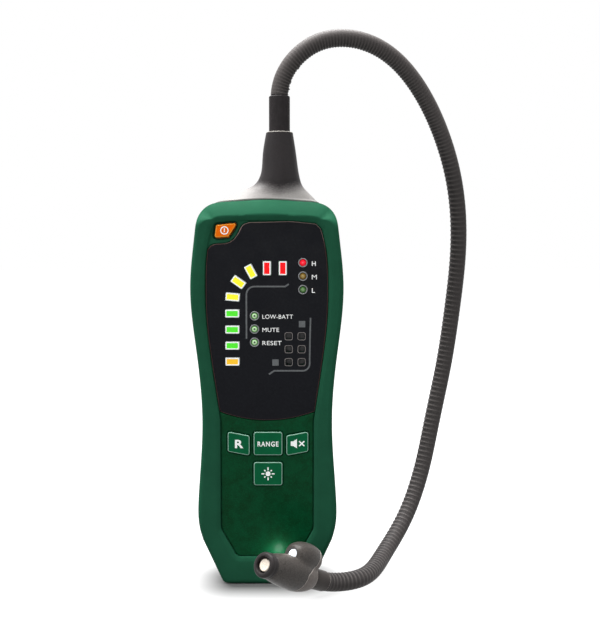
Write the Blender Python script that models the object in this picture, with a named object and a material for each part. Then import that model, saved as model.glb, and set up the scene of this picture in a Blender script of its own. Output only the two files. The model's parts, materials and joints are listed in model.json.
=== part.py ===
"""Handheld refrigerant leak detector with a gooseneck probe.

Metres, +Z up. The instrument stands on its flat base, the origin is the middle of that base,
and the display side faces -Y. The gooseneck leaves the top, loops down on the +X side and
brings the sensor head round to the front.
"""

import math

import bmesh
import bpy
import numpy as np
from mathutils import Matrix, Vector

# Housing. The wider top edge starts at a height measured down from the crown
BODY_HEIGHT = 0.1882
BODY_WIDTH = 0.0742
BODY_DEPTH = 0.0410
BASE_WIDTH = 0.0430
BASE_CORNER = 0.0030
WALL = 0.0020
FRONT_EDGE = 0.0024
TOP_EDGE = 0.0056
TOP_EDGE_FROM = -0.0132
TOP_EDGE_GROWTH = 0.0094
BACK_EDGE = 0.0060
FOOT_EDGE = 0.0022
FOOT_EDGE_GROWTH = 0.0175
PARTING_Y = 0.0020
PARTING_GAP = 0.0003

# Gaps: between pieces that seat on each other, round a key, and round a lamp
FIT_GAP = 0.0003
KEY_GAP = 0.0004
LAMP_GAP = 0.0003

# The recessed face with its window and keypad panel. Heights on it are measured from its top
FACE_DROP = 0.0013
FACE_DRAFT = 0.0026
PLATE_THICKNESS = 0.0012
RECESS_BOTTOM = 0.0136
RECESS_TOP_MARGIN = 0.0102
RECESS_CROWN = 0.0012
RECESS_CORNER = 0.0018
FACE_LIP = 0.0007
WINDOW_HEIGHT = 0.0970
WINDOW_BOTTOM_RISE = 0.0044
NOTCH_START = -0.0138
NOTCH = ((-0.0264, -0.0118), (-0.0232, -0.0111), (-0.0184, -0.0105), (-0.0139, -0.0062))
NOTCH_TOP = ((-0.0113, -0.0020), (-0.0084, -0.0008))

# Keys and the switches behind them
KEY_TRAVEL = 0.0007
KEY_RISE = 0.0005
KEY_BEVEL = 0.0004
KEY_FLANGE = 0.0007
KEY_FLANGE_THICKNESS = 0.0009
KEY_CORNER = 0.0012
POWER_KEY_CORNER = 0.0008
WIDE_KEY = (0.0141, 0.0116)
SIDE_KEY = (0.0108, 0.0100)
SIDE_KEY_SLOPE = 0.0021
KEY_ROW_DROP = 0.0113
KEY_ROW_SPACING = 0.0143
KEY_CENTRE_X = 0.0004
LIGHT_KEY_DROP = 0.0149
POWER_KEY_CORNERS = ((-0.0250, -0.0082), (-0.0184, -0.0078), (-0.0141, -0.0012), (-0.0243, -0.0022))
POWER_KEY_RISE = 0.0009
DISH_MARGIN = 0.0006
DISH_SLOPE = 0.0007
SWITCH_SIZE = 0.0060
SWITCH_HEIGHT = 0.0021
SWITCH_BUTTON_RADIUS = 0.0016
SWITCH_BUTTON_HEIGHT = 0.0006

# Circuit board
BOARD_THICKNESS = 0.0016
BOARD_MARGIN = 0.0012
BOARD_BOTTOM = 0.0220
BOARD_TOP_MARGIN = 0.0082

# Bar lights: a rising column of four, a bend of three and two upright ones at the end
BAR_SIZE = (0.0066, 0.0037)
BAR_COLUMN_START = (-0.0168, -0.0682)
BAR_COLUMN_PITCH = 0.0078
BAR_COLUMN_COUNT = 4
BAR_BEND = ((-0.0166, -0.0368), (-0.0138, -0.0296), (-0.0078, -0.0245))
BAR_BEND_DEGREES = (-5.0, -35.0, -62.0)
BAR_ROW_START = (0.0000, -0.0229)
BAR_ROW_PITCH = 0.0077
BAR_ROW_COUNT = 2

# Round status lamps: two columns of three, the first set in from the housing's widest side
LAMP_RADIUS = 0.0015
LAMP_RISE = 0.0004
LEVEL_LAMP_INSET = 0.0197
LEVEL_LAMP_START = -0.0202
LEVEL_LAMP_PITCH = 0.0065
STATE_LAMPS = (-0.0060, -0.0459)
STATE_LAMP_PITCH = 0.0064

# Sounder and its grid of holes
SOUND_HOLE = 0.0027
SOUND_GRID_CORNER = (0.0105, -0.0684)
SOUND_GRID_PITCH = 0.0063
SOUND_GRID = (2, 3)
SOUNDER_RADIUS = 0.0085
SOUNDER_HEIGHT = 0.0042

# Batteries, two columns of two AA cells, and their contacts
CELL_RADIUS = 0.00725
CELL_LENGTH = 0.0505
CELL_NUB = (0.0027, 0.0010)
CELL_SEPARATION = 0.0011
CONTACT_THICKNESS = 0.0006
SPRING_LENGTH = 0.0042
SPRING_RADIUS = 0.0034
SPRING_WIRE = 0.0004
SPRING_TURNS = 2.5
SPRING_STEPS_PER_TURN = 8
SPRING_WIRE_SIDES = 4
POCKET_BOTTOM = 0.0118
POCKET_WALL = 0.0016

# Battery door on the back
DOOR_THICKNESS = 0.0020
DOOR_LEDGE = 0.0021
DOOR_CORNER = 0.0030
DOOR_GRIP_COUNT = 5
DOOR_GRIP_START = 0.0088
DOOR_GRIP_PITCH = 0.0022
DOOR_GRIP_SIZE = (0.0150, 0.0010, 0.0005)

# Screws that hold the two half shells together: inset from the housing's side, and height
SCREW_INSETS = (0.0086, 0.0105)
LOWER_SCREW_HEIGHT = 0.0345
UPPER_SCREW_DROP = 0.0322
SCREW_RADIUS = 0.0014
SCREW_HEAD_RADIUS = 0.0026
SCREW_HEAD_HEIGHT = 0.0018
SCREW_HEAD_TOP_RADIUS = 0.0016
SCREW_HEAD_DEPTH = 0.0030
SCREW_LENGTH = 0.0240
BOSS_RADIUS = 0.0032
BOSS_SHOULDER = 0.0012

# Moulded neck. Each section is height above the housing's crown, left edge, right edge, half depth
NECK_X = 0.0058
NECK_FOOT = (-0.0263, 0.0256, 0.0135)
NECK_SECTIONS = (
    (0.0011, -0.0213, 0.0232, 0.0125),
    (0.0033, -0.0161, 0.0210, 0.0116),
    (0.0058, -0.0108, 0.0186, 0.0109),
    (0.0084, -0.0063, 0.0168, 0.0104),
    (0.0113, -0.0043, 0.0159, 0.0101),
    (0.0223, -0.0026, 0.0142, 0.0084),
    (0.0332, -0.0009, 0.0125, 0.0067),
    (0.0340, -0.0004, 0.0120, 0.0062),
)
NECK_EDGE = 0.0008
SPIGOT_RADIUS = 0.0080
SPIGOT_FLANGE = 0.0020
SPIGOT_FLANGE_THICKNESS = 0.0024

# Collar between the neck and the gooseneck
COLLAR_RADIUS = 0.0052
COLLAR_HEIGHT = 0.0177
COLLAR_SOCKET_DEPTH = 0.0060
COLLAR_RIM = 0.0005

# Gooseneck. Its route is given in plan, with the height at each point as a share of the way
# from a tube that lies on the ground up to the collar's top
NECK_TUBE_RADIUS = 0.0045
NECK_TUBE_CORE = 0.0037
RIB_DEPTH = 0.0004
RIB_PITCH = 0.0027
ROUTE_PLAN = (
    (0.0074, 0.0000),
    (0.0150, 0.0000),
    (0.0264, 0.0020),
    (0.0419, 0.0050),
    (0.0600, 0.0110),
    (0.0765, 0.0190),
    (0.0897, 0.0270),
    (0.0987, 0.0350),
    (0.1020, 0.0410),
    (0.0998, 0.0445),
    (0.0954, 0.0445),
    (0.0887, 0.0415),
    (0.0826, 0.0365),
    (0.0724, 0.0245),
    (0.0587, 0.0025),
    (0.0432, -0.0272),
)
ROUTE_HEIGHT_SHARES = (
    1.0344, 1.0829, 1.1148, 1.1229, 1.0978, 1.0328, 0.9366, 0.8231,
    0.6869, 0.5470, 0.4130, 0.2778, 0.1684, 0.0693, 0.0094, 0.0000,
)

# Sensor head. Lengths run back from the tip along the head's own axis
TIP = (-0.0002, -0.0729, 0.0276)
TIP_DIRECTION = (-0.585, -0.700, 0.410)
CAP_LENGTH = 0.0040
CAP_RADIUS = 0.0058
CAP_HOLE_RADIUS = 0.0035
CAP_RIM = 0.0009
SENSOR_RADIUS = 0.0028
SENSOR_DEPTH = 0.0011
SENSOR_LENGTH = 0.0110
SENSOR_EDGE = 0.0003
BARREL_SECTIONS = (
    (0.0000, 0.0054),
    (0.0030, 0.0061),
    (0.0080, 0.0069),
    (0.0140, 0.0076),
    (0.0195, 0.0079),
    (0.0240, 0.0075),
    (0.0272, 0.0068),
    (0.0290, 0.0062),
)
TURRET_START = 0.0178
TURRET_OFFSET = 0.0079
TURRET_SECTIONS = (
    (0.0000, 0.0033),
    (0.0006, 0.0043),
    (0.0020, 0.0054),
    (0.0050, 0.0063),
    (0.0100, 0.0067),
    (0.0142, 0.0062),
    (0.0173, 0.0048),
    (0.0188, 0.0024),
    (0.0192, 0.0000),
)
TURRET_WEB = (0.0052, 0.0046, 0.0010, 0.0145)
SEAM = ((-0.0120, 0.0225), (0.0010, 0.0240), (0.0060, 0.0300), (0.0170, 0.0345))
LED_RADIUS = 0.0024
LED_LENGTH = 0.0090
LED_RISE = 0.0006
FERRULE_LENGTH = 0.0125
FERRULE_RADIUS = 0.0051
FERRULE_END_RADIUS = 0.0047
FERRULE_RIM = 0.0008

# Steps over a rounded edge, least step of an outline where two curves meet, and faces per turn
EDGE_STEPS = 3
OUTLINE_STEP = 0.0020
ROUND_SIDES = 20
SMALL_SIDES = 10
TUBE_SIDES = 8
HIDDEN_SIDES = 8
DOME_STEPS = 3

# Heights on the face, at the top of the housing and of its neck
RECESS_TOP = BODY_HEIGHT - RECESS_TOP_MARGIN
WINDOW_BOTTOM = RECESS_TOP - WINDOW_HEIGHT
KEY_ROW_HEIGHT = WINDOW_BOTTOM - KEY_ROW_DROP
LIGHT_KEY_HEIGHT = KEY_ROW_HEIGHT - LIGHT_KEY_DROP
BOARD_TOP = BODY_HEIGHT - BOARD_TOP_MARGIN
NECK_TOP = BODY_HEIGHT + NECK_SECTIONS[-1][0]
COLLAR_BOTTOM = NECK_TOP - COLLAR_SOCKET_DEPTH
COLLAR_TOP = NECK_TOP + COLLAR_HEIGHT

# Levels through the depth, from the front to the back
FRONT_Y = -BODY_DEPTH / 2
BACK_Y = BODY_DEPTH / 2
FACE_Y = FRONT_Y + FACE_DROP
BED_Y = FACE_Y + PLATE_THICKNESS + FIT_GAP
BED_INNER_Y = BED_Y + WALL
KEY_FLANGE_Y = BED_INNER_Y + FIT_GAP
KEY_BACK_Y = KEY_FLANGE_Y + KEY_FLANGE_THICKNESS
SWITCH_TOP_Y = KEY_BACK_Y + KEY_TRAVEL + FIT_GAP
SWITCH_BACK_Y = SWITCH_TOP_Y + SWITCH_BUTTON_HEIGHT + SWITCH_HEIGHT
BOARD_FRONT_Y = SWITCH_BACK_Y + FIT_GAP
BOARD_BACK_Y = BOARD_FRONT_Y + BOARD_THICKNESS
DOOR_INNER_Y = BACK_Y - DOOR_THICKNESS
CELL_Y = DOOR_INNER_Y - FIT_GAP - CELL_RADIUS
POCKET_FLOOR_Y = CELL_Y - CELL_RADIUS - FIT_GAP

# Lengths of the battery pocket, worked out from what it holds
CELL_SPACING = 2 * CELL_RADIUS + CELL_SEPARATION
CELL_ROW_LENGTH = 2 * CELL_LENGTH + FIT_GAP
POCKET_LENGTH = 2 * CONTACT_THICKNESS + SPRING_LENGTH + CELL_ROW_LENGTH + 5 * FIT_GAP
POCKET_WIDTH = CELL_SPACING + 2 * CELL_RADIUS + 2 * FIT_GAP
POCKET_TOP = POCKET_BOTTOM + POCKET_LENGTH
DOOR_WIDTH = POCKET_WIDTH + 2 * DOOR_LEDGE
DOOR_BOTTOM = POCKET_BOTTOM - DOOR_LEDGE
DOOR_TOP = POCKET_TOP + DOOR_LEDGE

# Shares of the half width and the height that give the housing its waist and shoulders
BODY_SIDE_SHARES = (
    (0.852, 0.115),
    (0.897, 0.147),
    (0.911, 0.223),
    (0.854, 0.425),
    (0.916, 0.595),
    (1.000, 0.776),
    (0.935, 0.919),
    (0.877, 0.964),
    (0.755, 0.986),
    (0.500, 0.9948),
    (0.000, 1.000),
)

# The recess in the same shares, from its lower chamfer up to its top corner
RECESS_SIDE_SHARES = (
    (0.612, 0.146),
    (0.612, 0.430),
    (0.660, 0.490),
    (0.735, 0.590),
    (0.795, 0.700),
    (0.803, 0.795),
    (0.768, 0.880),
    (0.712, 0.925),
)
RECESS_BASE_SHARE = 0.404
RECESS_TOP_CORNER_SHARE = 0.640


def remove_old_objects():
    """Empties the scene."""
    for obj in list(bpy.data.objects):
        bpy.data.objects.remove(obj, do_unlink=True)


def material(name, colour, roughness, metallic=0.0):
    """A Principled material, made once for each name."""
    found = bpy.data.materials.get(name)
    if found:
        return found
    made = bpy.data.materials.new(name)
    made.use_nodes = True
    shader = made.node_tree.nodes["Principled BSDF"]
    shader.inputs["Base Color"].default_value = (*colour, 1.0)
    shader.inputs["Roughness"].default_value = roughness
    shader.inputs["Metallic"].default_value = metallic
    made.diffuse_color = (*colour, 1.0)
    return made


def green_case():
    """Moulded green of both shells and the door."""
    return material("green_case", (0.017, 0.088, 0.048), 0.45)


def green_panel():
    """Deeper green of the keypad panel."""
    return material("green_panel", (0.004, 0.055, 0.020), 0.5)


def green_key():
    """Green of the four plain keys."""
    return material("green_key", (0.007, 0.107, 0.040), 0.45)


def black_window():
    """Glossy black of the window."""
    return material("black_window", (0.011, 0.011, 0.013), 0.12)


def orange_key():
    """Orange of the power key."""
    return material("orange_key", (1.0, 0.195, 0.0), 0.4)


def grey_plastic():
    """Dark grey of the neck."""
    return material("grey_plastic", (0.055, 0.050, 0.050), 0.5)


def head_plastic():
    """Warm grey of the sensor head."""
    return material("head_plastic", (0.085, 0.075, 0.070), 0.5)


def black_rubber():
    """Dark satin of the gooseneck and its sleeves."""
    return material("black_rubber", (0.038, 0.036, 0.036), 0.6)


def board_green():
    """Green of the circuit board."""
    return material("board_green", (0.01, 0.12, 0.04), 0.5)


def black_part():
    """Plain black of hidden pieces and guides."""
    return material("black_part", (0.02, 0.02, 0.02), 0.5)


def spring_steel():
    """Plated steel of contacts and screws."""
    return material("spring_steel", (0.6, 0.6, 0.6), 0.3, 1.0)


def cell_wrap():
    """Dark wrap of the cells."""
    return material("cell_wrap", (0.05, 0.05, 0.06), 0.35, 0.3)


def lens(name, colour):
    """Clear coloured plastic of a lamp."""
    return material(name, colour, 0.25)


def spline(points, per_span):
    """Points on the natural cubic through the given points, spaced by chord length."""
    knots = np.asarray(points, dtype=float)
    steps = np.linalg.norm(np.diff(knots, axis=0), axis=1)
    count = len(knots)
    system = np.eye(count)
    right = np.zeros_like(knots)
    for i in range(1, count - 1):
        system[i, i - 1:i + 2] = (steps[i - 1], 2 * (steps[i - 1] + steps[i]), steps[i])
        slope_change = (knots[i + 1] - knots[i]) / steps[i] - (knots[i] - knots[i - 1]) / steps[i - 1]
        right[i] = 6 * slope_change
    bend = np.linalg.solve(system, right)
    out = []
    for i in range(count - 1):
        for t in np.arange(per_span) / per_span:
            a = (1 - t) * knots[i] + t * knots[i + 1]
            near = ((1 - t) ** 3 - (1 - t)) * bend[i]
            far = (t ** 3 - t) * bend[i + 1]
            out.append(a + steps[i] ** 2 / 6 * (near + far))
    out.append(knots[-1])
    return np.array(out)


def round_corner(before, corner, after, radius, steps):
    """Points of the arc that rounds a corner between its two neighbours."""
    corner = Vector(corner)
    back = (Vector(before) - corner).normalized()
    ahead = (Vector(after) - corner).normalized()
    half_angle = back.angle(ahead) / 2
    middle = corner + (back + ahead).normalized() * (radius / math.sin(half_angle))
    start = corner + back * (radius / math.tan(half_angle)) - middle
    end = corner + ahead * (radius / math.tan(half_angle)) - middle
    return [tuple(middle + start.lerp(end, i / steps).normalized() * radius) for i in range(steps + 1)]


def rounded_polygon(corners, radius, steps=2):
    """A closed outline with an arc of the given radius at each corner."""
    out = []
    for i, corner in enumerate(corners):
        out += round_corner(corners[i - 1], corner, corners[(i + 1) % len(corners)], radius, steps)
    return np.array(out)


def rectangle(centre, size, radius=0.0, angle=0.0, steps=2):
    """A rectangle about a centre, with round corners, turned by an angle in degrees."""
    w, h = size[0] / 2, size[1] / 2
    corners = [(-w, -h), (w, -h), (w, h), (-w, h)]
    outline = rounded_polygon(corners, radius, steps) if radius else np.array(corners)
    c, s = math.cos(math.radians(angle)), math.sin(math.radians(angle))
    return outline @ np.array([[c, s], [-s, c]]) + np.array(centre)


def offset(outline, distance):
    """The outline moved inwards by a distance, which may differ from point to point."""
    outline = np.asarray(outline, dtype=float)
    ahead = np.roll(outline, -1, axis=0) - outline
    ahead /= np.linalg.norm(ahead, axis=1)[:, None]
    inward_after = np.stack([-ahead[:, 1], ahead[:, 0]], axis=1)
    inward_before = np.roll(inward_after, 1, axis=0)
    both = inward_before + inward_after
    both /= (1 + np.sum(inward_before * inward_after, axis=1))[:, None]
    return outline + both * np.broadcast_to(distance, len(outline))[:, None]


def at_depth(outline, y):
    """Turns an outline of X and Z into points at a depth."""
    y = np.broadcast_to(y, len(outline))
    return np.stack([outline[:, 0], y, outline[:, 1]], axis=1)


def new_object(name, bm, finish, smooth=30.0):
    """Puts a bmesh into a named object, with its faces pointing out."""
    bmesh.ops.recalc_face_normals(bm, faces=bm.faces)
    mesh = bpy.data.meshes.new(name)
    bm.to_mesh(mesh)
    bm.free()
    mesh.materials.append(finish)
    mesh.shade_smooth()
    mesh.set_sharp_from_angle(angle=math.radians(smooth))
    obj = bpy.data.objects.new(name, mesh)
    bpy.context.scene.collection.objects.link(obj)
    return obj


def add_loft(bm, rings, strip_start=False):
    """Adds a closed body through rings of equal length, with a cap on the first and the last."""
    loops = [[bm.verts.new(p) for p in ring] for ring in rings]
    count = len(loops[0])
    for low, high in zip(loops, loops[1:]):
        for i in range(count):
            j = (i + 1) % count
            bm.faces.new((low[i], low[j], high[j], high[i]))
    if strip_start:
        first = loops[0]
        half = count // 2
        for i in range(half):
            face = [first[i], first[i + 1], first[(count - i - 1) % count], first[(count - i) % count]]
            bm.faces.new(list(dict.fromkeys(face)))
    else:
        bm.faces.new(loops[0])
    bm.faces.new(loops[-1])


def loft(name, rings, finish, strip_start=False):
    """A closed body through rings of equal length, as an object."""
    bm = bmesh.new()
    add_loft(bm, rings, strip_start)
    return new_object(name, bm, finish)


def prism(name, outline, y_front, y_back, finish):
    """An outline of X and Z carried straight back along Y."""
    return loft(name, [at_depth(outline, y_front), at_depth(outline, y_back)], finish)


def ring_of(radius, height, sides):
    """Points of a circle about Z."""
    angles = np.arange(sides) * 2 * math.pi / sides
    return np.stack([radius * np.cos(angles), radius * np.sin(angles), np.full(sides, height)], axis=1)


def add_turned(bm, profile, sides):
    """Adds a body turned about Z from a profile of radius and height. A radius of 0 is a pole."""
    loops = []
    for radius, height in profile:
        if radius == 0:
            loops.append([bm.verts.new((0, 0, height))])
        else:
            loops.append([bm.verts.new(p) for p in ring_of(radius, height, sides)])
    closed = profile[0] == profile[-1]
    if closed:
        loops[-1] = loops[0]
    for low, high in zip(loops, loops[1:]):
        for i in range(sides):
            j = (i + 1) % sides
            face = [low[i % len(low)], low[j % len(low)], high[j % len(high)], high[i % len(high)]]
            bm.faces.new(list(dict.fromkeys(face)))
    if not closed:
        for loop in (loops[0], loops[-1]):
            if len(loop) > 1:
                bm.faces.new(loop)


def turned(name, profile, finish, sides=ROUND_SIDES):
    """A body turned about Z, as an object."""
    bm = bmesh.new()
    add_turned(bm, profile, sides)
    return new_object(name, bm, finish)


def even_shading(target):
    """Lets large flat faces keep their own shading after the cuts."""
    if "even_shading" not in target.modifiers:
        target.modifiers.new("even_shading", "WEIGHTED_NORMAL").keep_sharp = True
    shading = target.modifiers["even_shading"]
    target.modifiers.move(target.modifiers.find(shading.name), len(target.modifiers) - 1)


def cut(target, *cutters):
    """Subtracts the cutters, which stay in the file as hidden guides."""
    for cutter in cutters:
        hide(cutter)
        change = target.modifiers.new("cut_" + cutter.name, "BOOLEAN")
        change.operation = "DIFFERENCE"
        change.object = cutter
    even_shading(target)


def unite(target, *others):
    """Joins the others to the target as one body, and hides them."""
    for other in others:
        hide(other)
        change = target.modifiers.new("join_" + other.name, "BOOLEAN")
        change.operation = "UNION"
        change.object = other
    even_shading(target)


def hide(obj):
    """Marks an object as a guide."""
    obj.hide_render = True
    obj.display_type = "WIRE"


def place(obj, location, rotation=None):
    """Sets an object's place, and its turn where a matrix is given."""
    turn = rotation.to_4x4() if rotation else Matrix.Identity(4)
    obj.matrix_world = Matrix.Translation(Vector(location)) @ turn
    return obj


# Turns a piece made along +Z so that it runs along -Y, out of the front
FORWARD = Matrix.Rotation(math.radians(90), 3, "X")
# The same for +Y, out of the back
BACKWARD = Matrix.Rotation(math.radians(-90), 3, "X")


def body_outline():
    """The housing's outline seen from the front, from the base round to the base again."""
    half = BODY_WIDTH / 2
    right = [(x * half, z * BODY_HEIGHT) for x, z in BODY_SIDE_SHARES]
    left = [(-x, z) for x, z in reversed(right[:-1])]
    arch = spline(right + left, 2)
    corner = round_corner((0.0, 0.0), (BASE_WIDTH / 2, 0.0), right[0], BASE_CORNER, 2)
    mirrored = [(-x, z) for x, z in reversed(corner)]
    return np.array(mirrored + corner + [tuple(p) for p in arch])


def body_half_width(z):
    """Half the housing's width at a height below its widest stretch's end."""
    right = np.array([(x * BODY_WIDTH / 2, share * BODY_HEIGHT) for x, share in BODY_SIDE_SHARES])
    return float(np.interp(z, right[:, 1], right[:, 0]))


def edge_radius(outline, plain, at_top):
    """The edge's roundness round the outline: small at the foot, and growing over the shoulders."""
    rise = np.clip((outline[:, 1] - BODY_HEIGHT - TOP_EDGE_FROM) / TOP_EDGE_GROWTH, 0, 1)
    foot = np.clip(outline[:, 1] / FOOT_EDGE_GROWTH, 0, 1)
    rise, foot = (share * share * (3 - 2 * share) for share in (rise, foot))
    low = min(FOOT_EDGE, plain)
    return low + (plain - low) * foot + (at_top - plain) * rise


def edge_rings(outline, plain, at_top, face_y, towards, inset=0.0):
    """Rings over a rounded edge, from the face down to the side wall."""
    radius = edge_radius(outline, plain, at_top)
    rings = []
    for angle in np.linspace(0, math.pi / 2, EDGE_STEPS):
        shift = inset + radius * (1 - math.sin(angle))
        y = face_y + towards * radius * (1 - math.cos(angle))
        rings.append(at_depth(offset(outline, shift), y))
    return rings


def recess_outline():
    """The outline of the sunk face, with a chamfered foot like the housing's own."""
    half = BODY_WIDTH / 2
    side = spline([(x * half, z * BODY_HEIGHT) for x, z in RECESS_SIDE_SHARES[1:]], 2)
    foot = (RECESS_BASE_SHARE * half, RECESS_BOTTOM)
    knee = (RECESS_SIDE_SHARES[0][0] * half, RECESS_SIDE_SHARES[0][1] * BODY_HEIGHT)
    corner = (RECESS_TOP_CORNER_SHARE * half, RECESS_TOP - RECESS_CROWN)
    crown = (corner[0] / 2, RECESS_TOP)
    arc = round_corner(side[-1], corner, crown, RECESS_CORNER, 2)
    right = [foot, knee] + [tuple(p) for p in side] + arc + [crown]
    left = [(-x, z) for x, z in reversed(right)]
    return np.array(right + left)


def on_face(points):
    """Places on the face, from X and the height measured from the recess's top."""
    return [(x, z + RECESS_TOP) for x, z in points]


def recess_half_width(z):
    """Half the recess's width at a height."""
    outline = recess_outline()
    right = outline[:len(outline) // 2]
    return float(np.interp(z, right[:, 1], right[:, 0]))


def window_bottom(x, lift=0.0):
    """The height of the arc between the window and the keypad panel."""
    edge = recess_half_width(WINDOW_BOTTOM + WINDOW_BOTTOM_RISE)
    return WINDOW_BOTTOM + WINDOW_BOTTOM_RISE * (x / edge) ** 2 + lift


def notch_curve():
    """The S-shaped edge round the power key, from the recess's side up to its top."""
    height = RECESS_TOP + NOTCH_START
    side = (-(recess_half_width(height) - FIT_GAP), height)
    return spline([side] + on_face(NOTCH + NOTCH_TOP), 2)


def window_outline():
    """The window: recess sides, an arc at the foot and an S-shaped notch for the power key."""
    edge = recess_half_width(WINDOW_BOTTOM + WINDOW_BOTTOM_RISE) - FIT_GAP
    foot = [(x, window_bottom(x, FIT_GAP / 2)) for x in np.linspace(-edge, edge, 9)]
    full = offset(recess_outline(), FIT_GAP)
    side = full[:len(full) // 2]
    right = [tuple(p) for p in side if p[1] > foot[-1][1] + OUTLINE_STEP]
    notch = notch_curve()
    left = [(-x, z) for x, z in right if z < notch[0][1] - OUTLINE_STEP]
    return np.array(foot + right + [tuple(p) for p in notch[::-1]] + left[::-1])


def panel_outline():
    """The keypad panel, below the window's arc."""
    full = offset(recess_outline(), FIT_GAP)
    side = [tuple(p) for p in full[:len(full) // 2] if p[1] < WINDOW_BOTTOM]
    edge = recess_half_width(WINDOW_BOTTOM + WINDOW_BOTTOM_RISE) - FIT_GAP
    top = [(x, window_bottom(x, -FIT_GAP / 2)) for x in np.linspace(edge, -edge, 9)]
    left = [(-x, z) for x, z in reversed(side)]
    return np.array(side + top + left)


def key_outlines():
    """Each key's name, outline and centre."""
    slope = SIDE_KEY_SLOPE / 2
    w, h = SIDE_KEY[0] / 2, SIDE_KEY[1] / 2
    keys = {}
    for name, side in (("reset_key", -1), ("mute_key", 1)):
        x = KEY_CENTRE_X + side * KEY_ROW_SPACING
        z = KEY_ROW_HEIGHT
        lean = side * slope
        corners = [(x - w, z - h - lean), (x + w, z - h + lean)]
        corners += [(x + w, z + h + lean), (x - w, z + h - lean)]
        keys[name] = (rounded_polygon(corners, KEY_CORNER), (x, z))
    middle = (KEY_CENTRE_X, KEY_ROW_HEIGHT)
    keys["range_key"] = (rectangle(middle, WIDE_KEY, KEY_CORNER), middle)
    below = (KEY_CENTRE_X, LIGHT_KEY_HEIGHT)
    keys["light_key"] = (rectangle(below, WIDE_KEY, KEY_CORNER), below)
    corners = on_face(POWER_KEY_CORNERS)
    outline = rounded_polygon(corners, POWER_KEY_CORNER)
    keys["power_key"] = (outline, tuple(np.mean(corners, axis=0)))
    return keys


def bar_places():
    """Centre and turn of each bar light, in the order in which they light up."""
    x, z = BAR_COLUMN_START
    centres = [(x, z + i * BAR_COLUMN_PITCH) for i in range(BAR_COLUMN_COUNT)]
    centres += BAR_BEND
    x, z = BAR_ROW_START
    centres += [(x + i * BAR_ROW_PITCH, z) for i in range(BAR_ROW_COUNT)]
    turns = [0.0] * BAR_COLUMN_COUNT + list(BAR_BEND_DEGREES) + [90.0] * BAR_ROW_COUNT
    return [(x, z, turn) for (x, z), turn in zip(on_face(centres), turns)]


def lamp_places():
    """Name and centre of each round lamp."""
    level_lamps = (BODY_WIDTH / 2 - LEVEL_LAMP_INSET, LEVEL_LAMP_START)
    columns = (
        (level_lamps, LEVEL_LAMP_PITCH, ("high_lamp", "medium_lamp", "low_lamp")),
        (STATE_LAMPS, STATE_LAMP_PITCH, ("battery_lamp", "mute_lamp", "reset_lamp")),
    )
    places = {}
    for (x, z), pitch, names in columns:
        for i, name in enumerate(names):
            places[name] = (x, RECESS_TOP + z - i * pitch)
    return places


def sound_hole_places():
    """Centres of the sound holes."""
    columns, rows = SOUND_GRID
    x0, z0 = SOUND_GRID_CORNER
    pitch = SOUND_GRID_PITCH
    return on_face([(x0 + i * pitch, z0 + j * pitch) for i in range(columns) for j in range(rows)])


def hole_cutter(name):
    """One guide with every light and sound hole through the window and the bed behind it."""
    bm = bmesh.new()
    y_front = FACE_Y - 2 * PLATE_THICKNESS
    y_back = BED_INNER_Y + WALL
    size = (BAR_SIZE[0] + 2 * LAMP_GAP, BAR_SIZE[1] + 2 * LAMP_GAP)
    outlines = [rectangle((x, z), size, angle=turn) for x, z, turn in bar_places()]
    outlines += [rectangle(centre, (SOUND_HOLE, SOUND_HOLE)) for centre in sound_hole_places()]
    for x, z in lamp_places().values():
        outlines.append(ring_of(LAMP_RADIUS + LAMP_GAP, 0, SMALL_SIDES)[:, :2] + np.array((x, z)))
    for outline in outlines:
        add_loft(bm, [at_depth(outline, y_front), at_depth(outline, y_back)])
    return new_object(name, bm, black_part())


def key_cutter(name, names, grow):
    """A guide with the openings of the named keys, wider than the keys by a gap."""
    bm = bmesh.new()
    outlines = key_outlines()
    for key in names:
        wide = offset(outlines[key][0], -grow)
        add_loft(bm, [at_depth(wide, FRONT_Y - FACE_DROP), at_depth(wide, BED_INNER_Y + WALL)])
    return new_object(name, bm, black_part())


def screw_centres():
    """Centres of the four screws, seen from the front."""
    heights = (LOWER_SCREW_HEIGHT, BODY_HEIGHT - UPPER_SCREW_DROP)
    insides = [body_half_width(z) - inset for z, inset in zip(heights, SCREW_INSETS)]
    return [(side * x, z) for x, z in zip(insides, heights) for side in (-1, 1)]


def add_post(bm, centre, radius, y_front, y_back, sides=HIDDEN_SIDES):
    """Adds a round post along Y."""
    circle = ring_of(radius, 0, sides)[:, :2] + np.array(centre)
    add_loft(bm, [at_depth(circle, y_front), at_depth(circle, y_back)])


def spigot_hole(name):
    """The hole in the housing's top that the neck passes through."""
    radius = SPIGOT_RADIUS + FIT_GAP
    low = BODY_HEIGHT - 4 * WALL
    obj = turned(name, [(radius, low), (radius, BODY_HEIGHT + 2 * WALL)], black_part())
    return place(obj, (NECK_X, 0, 0))


def key_surround():
    """The raised land between the window's notch and the dish that the power key stands in."""
    curve = notch_curve()
    wall = offset(recess_outline(), -WALL / 2)
    corner = wall[(wall[:, 1] > curve[0][1]) & (wall[:, 0] < curve[-1][0])]
    edge = curve + np.array((-FIT_GAP, FIT_GAP))
    outline = np.array([tuple(p) for p in edge] + [tuple(p) for p in corner])
    land = prism("key_surround", outline, FACE_Y, BED_Y + WALL / 2, green_case())
    key_outline = key_outlines()["power_key"][0]
    brim = offset(key_outline, -DISH_MARGIN - DISH_SLOPE)
    floor = offset(key_outline, -DISH_MARGIN)
    steps = [(brim, FACE_Y - WALL), (brim, FACE_Y), (floor, BED_Y), (floor, BED_Y + WALL)]
    cut(land, loft("key_dish", [at_depth(o, y) for o, y in steps], black_part()))
    return land


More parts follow.
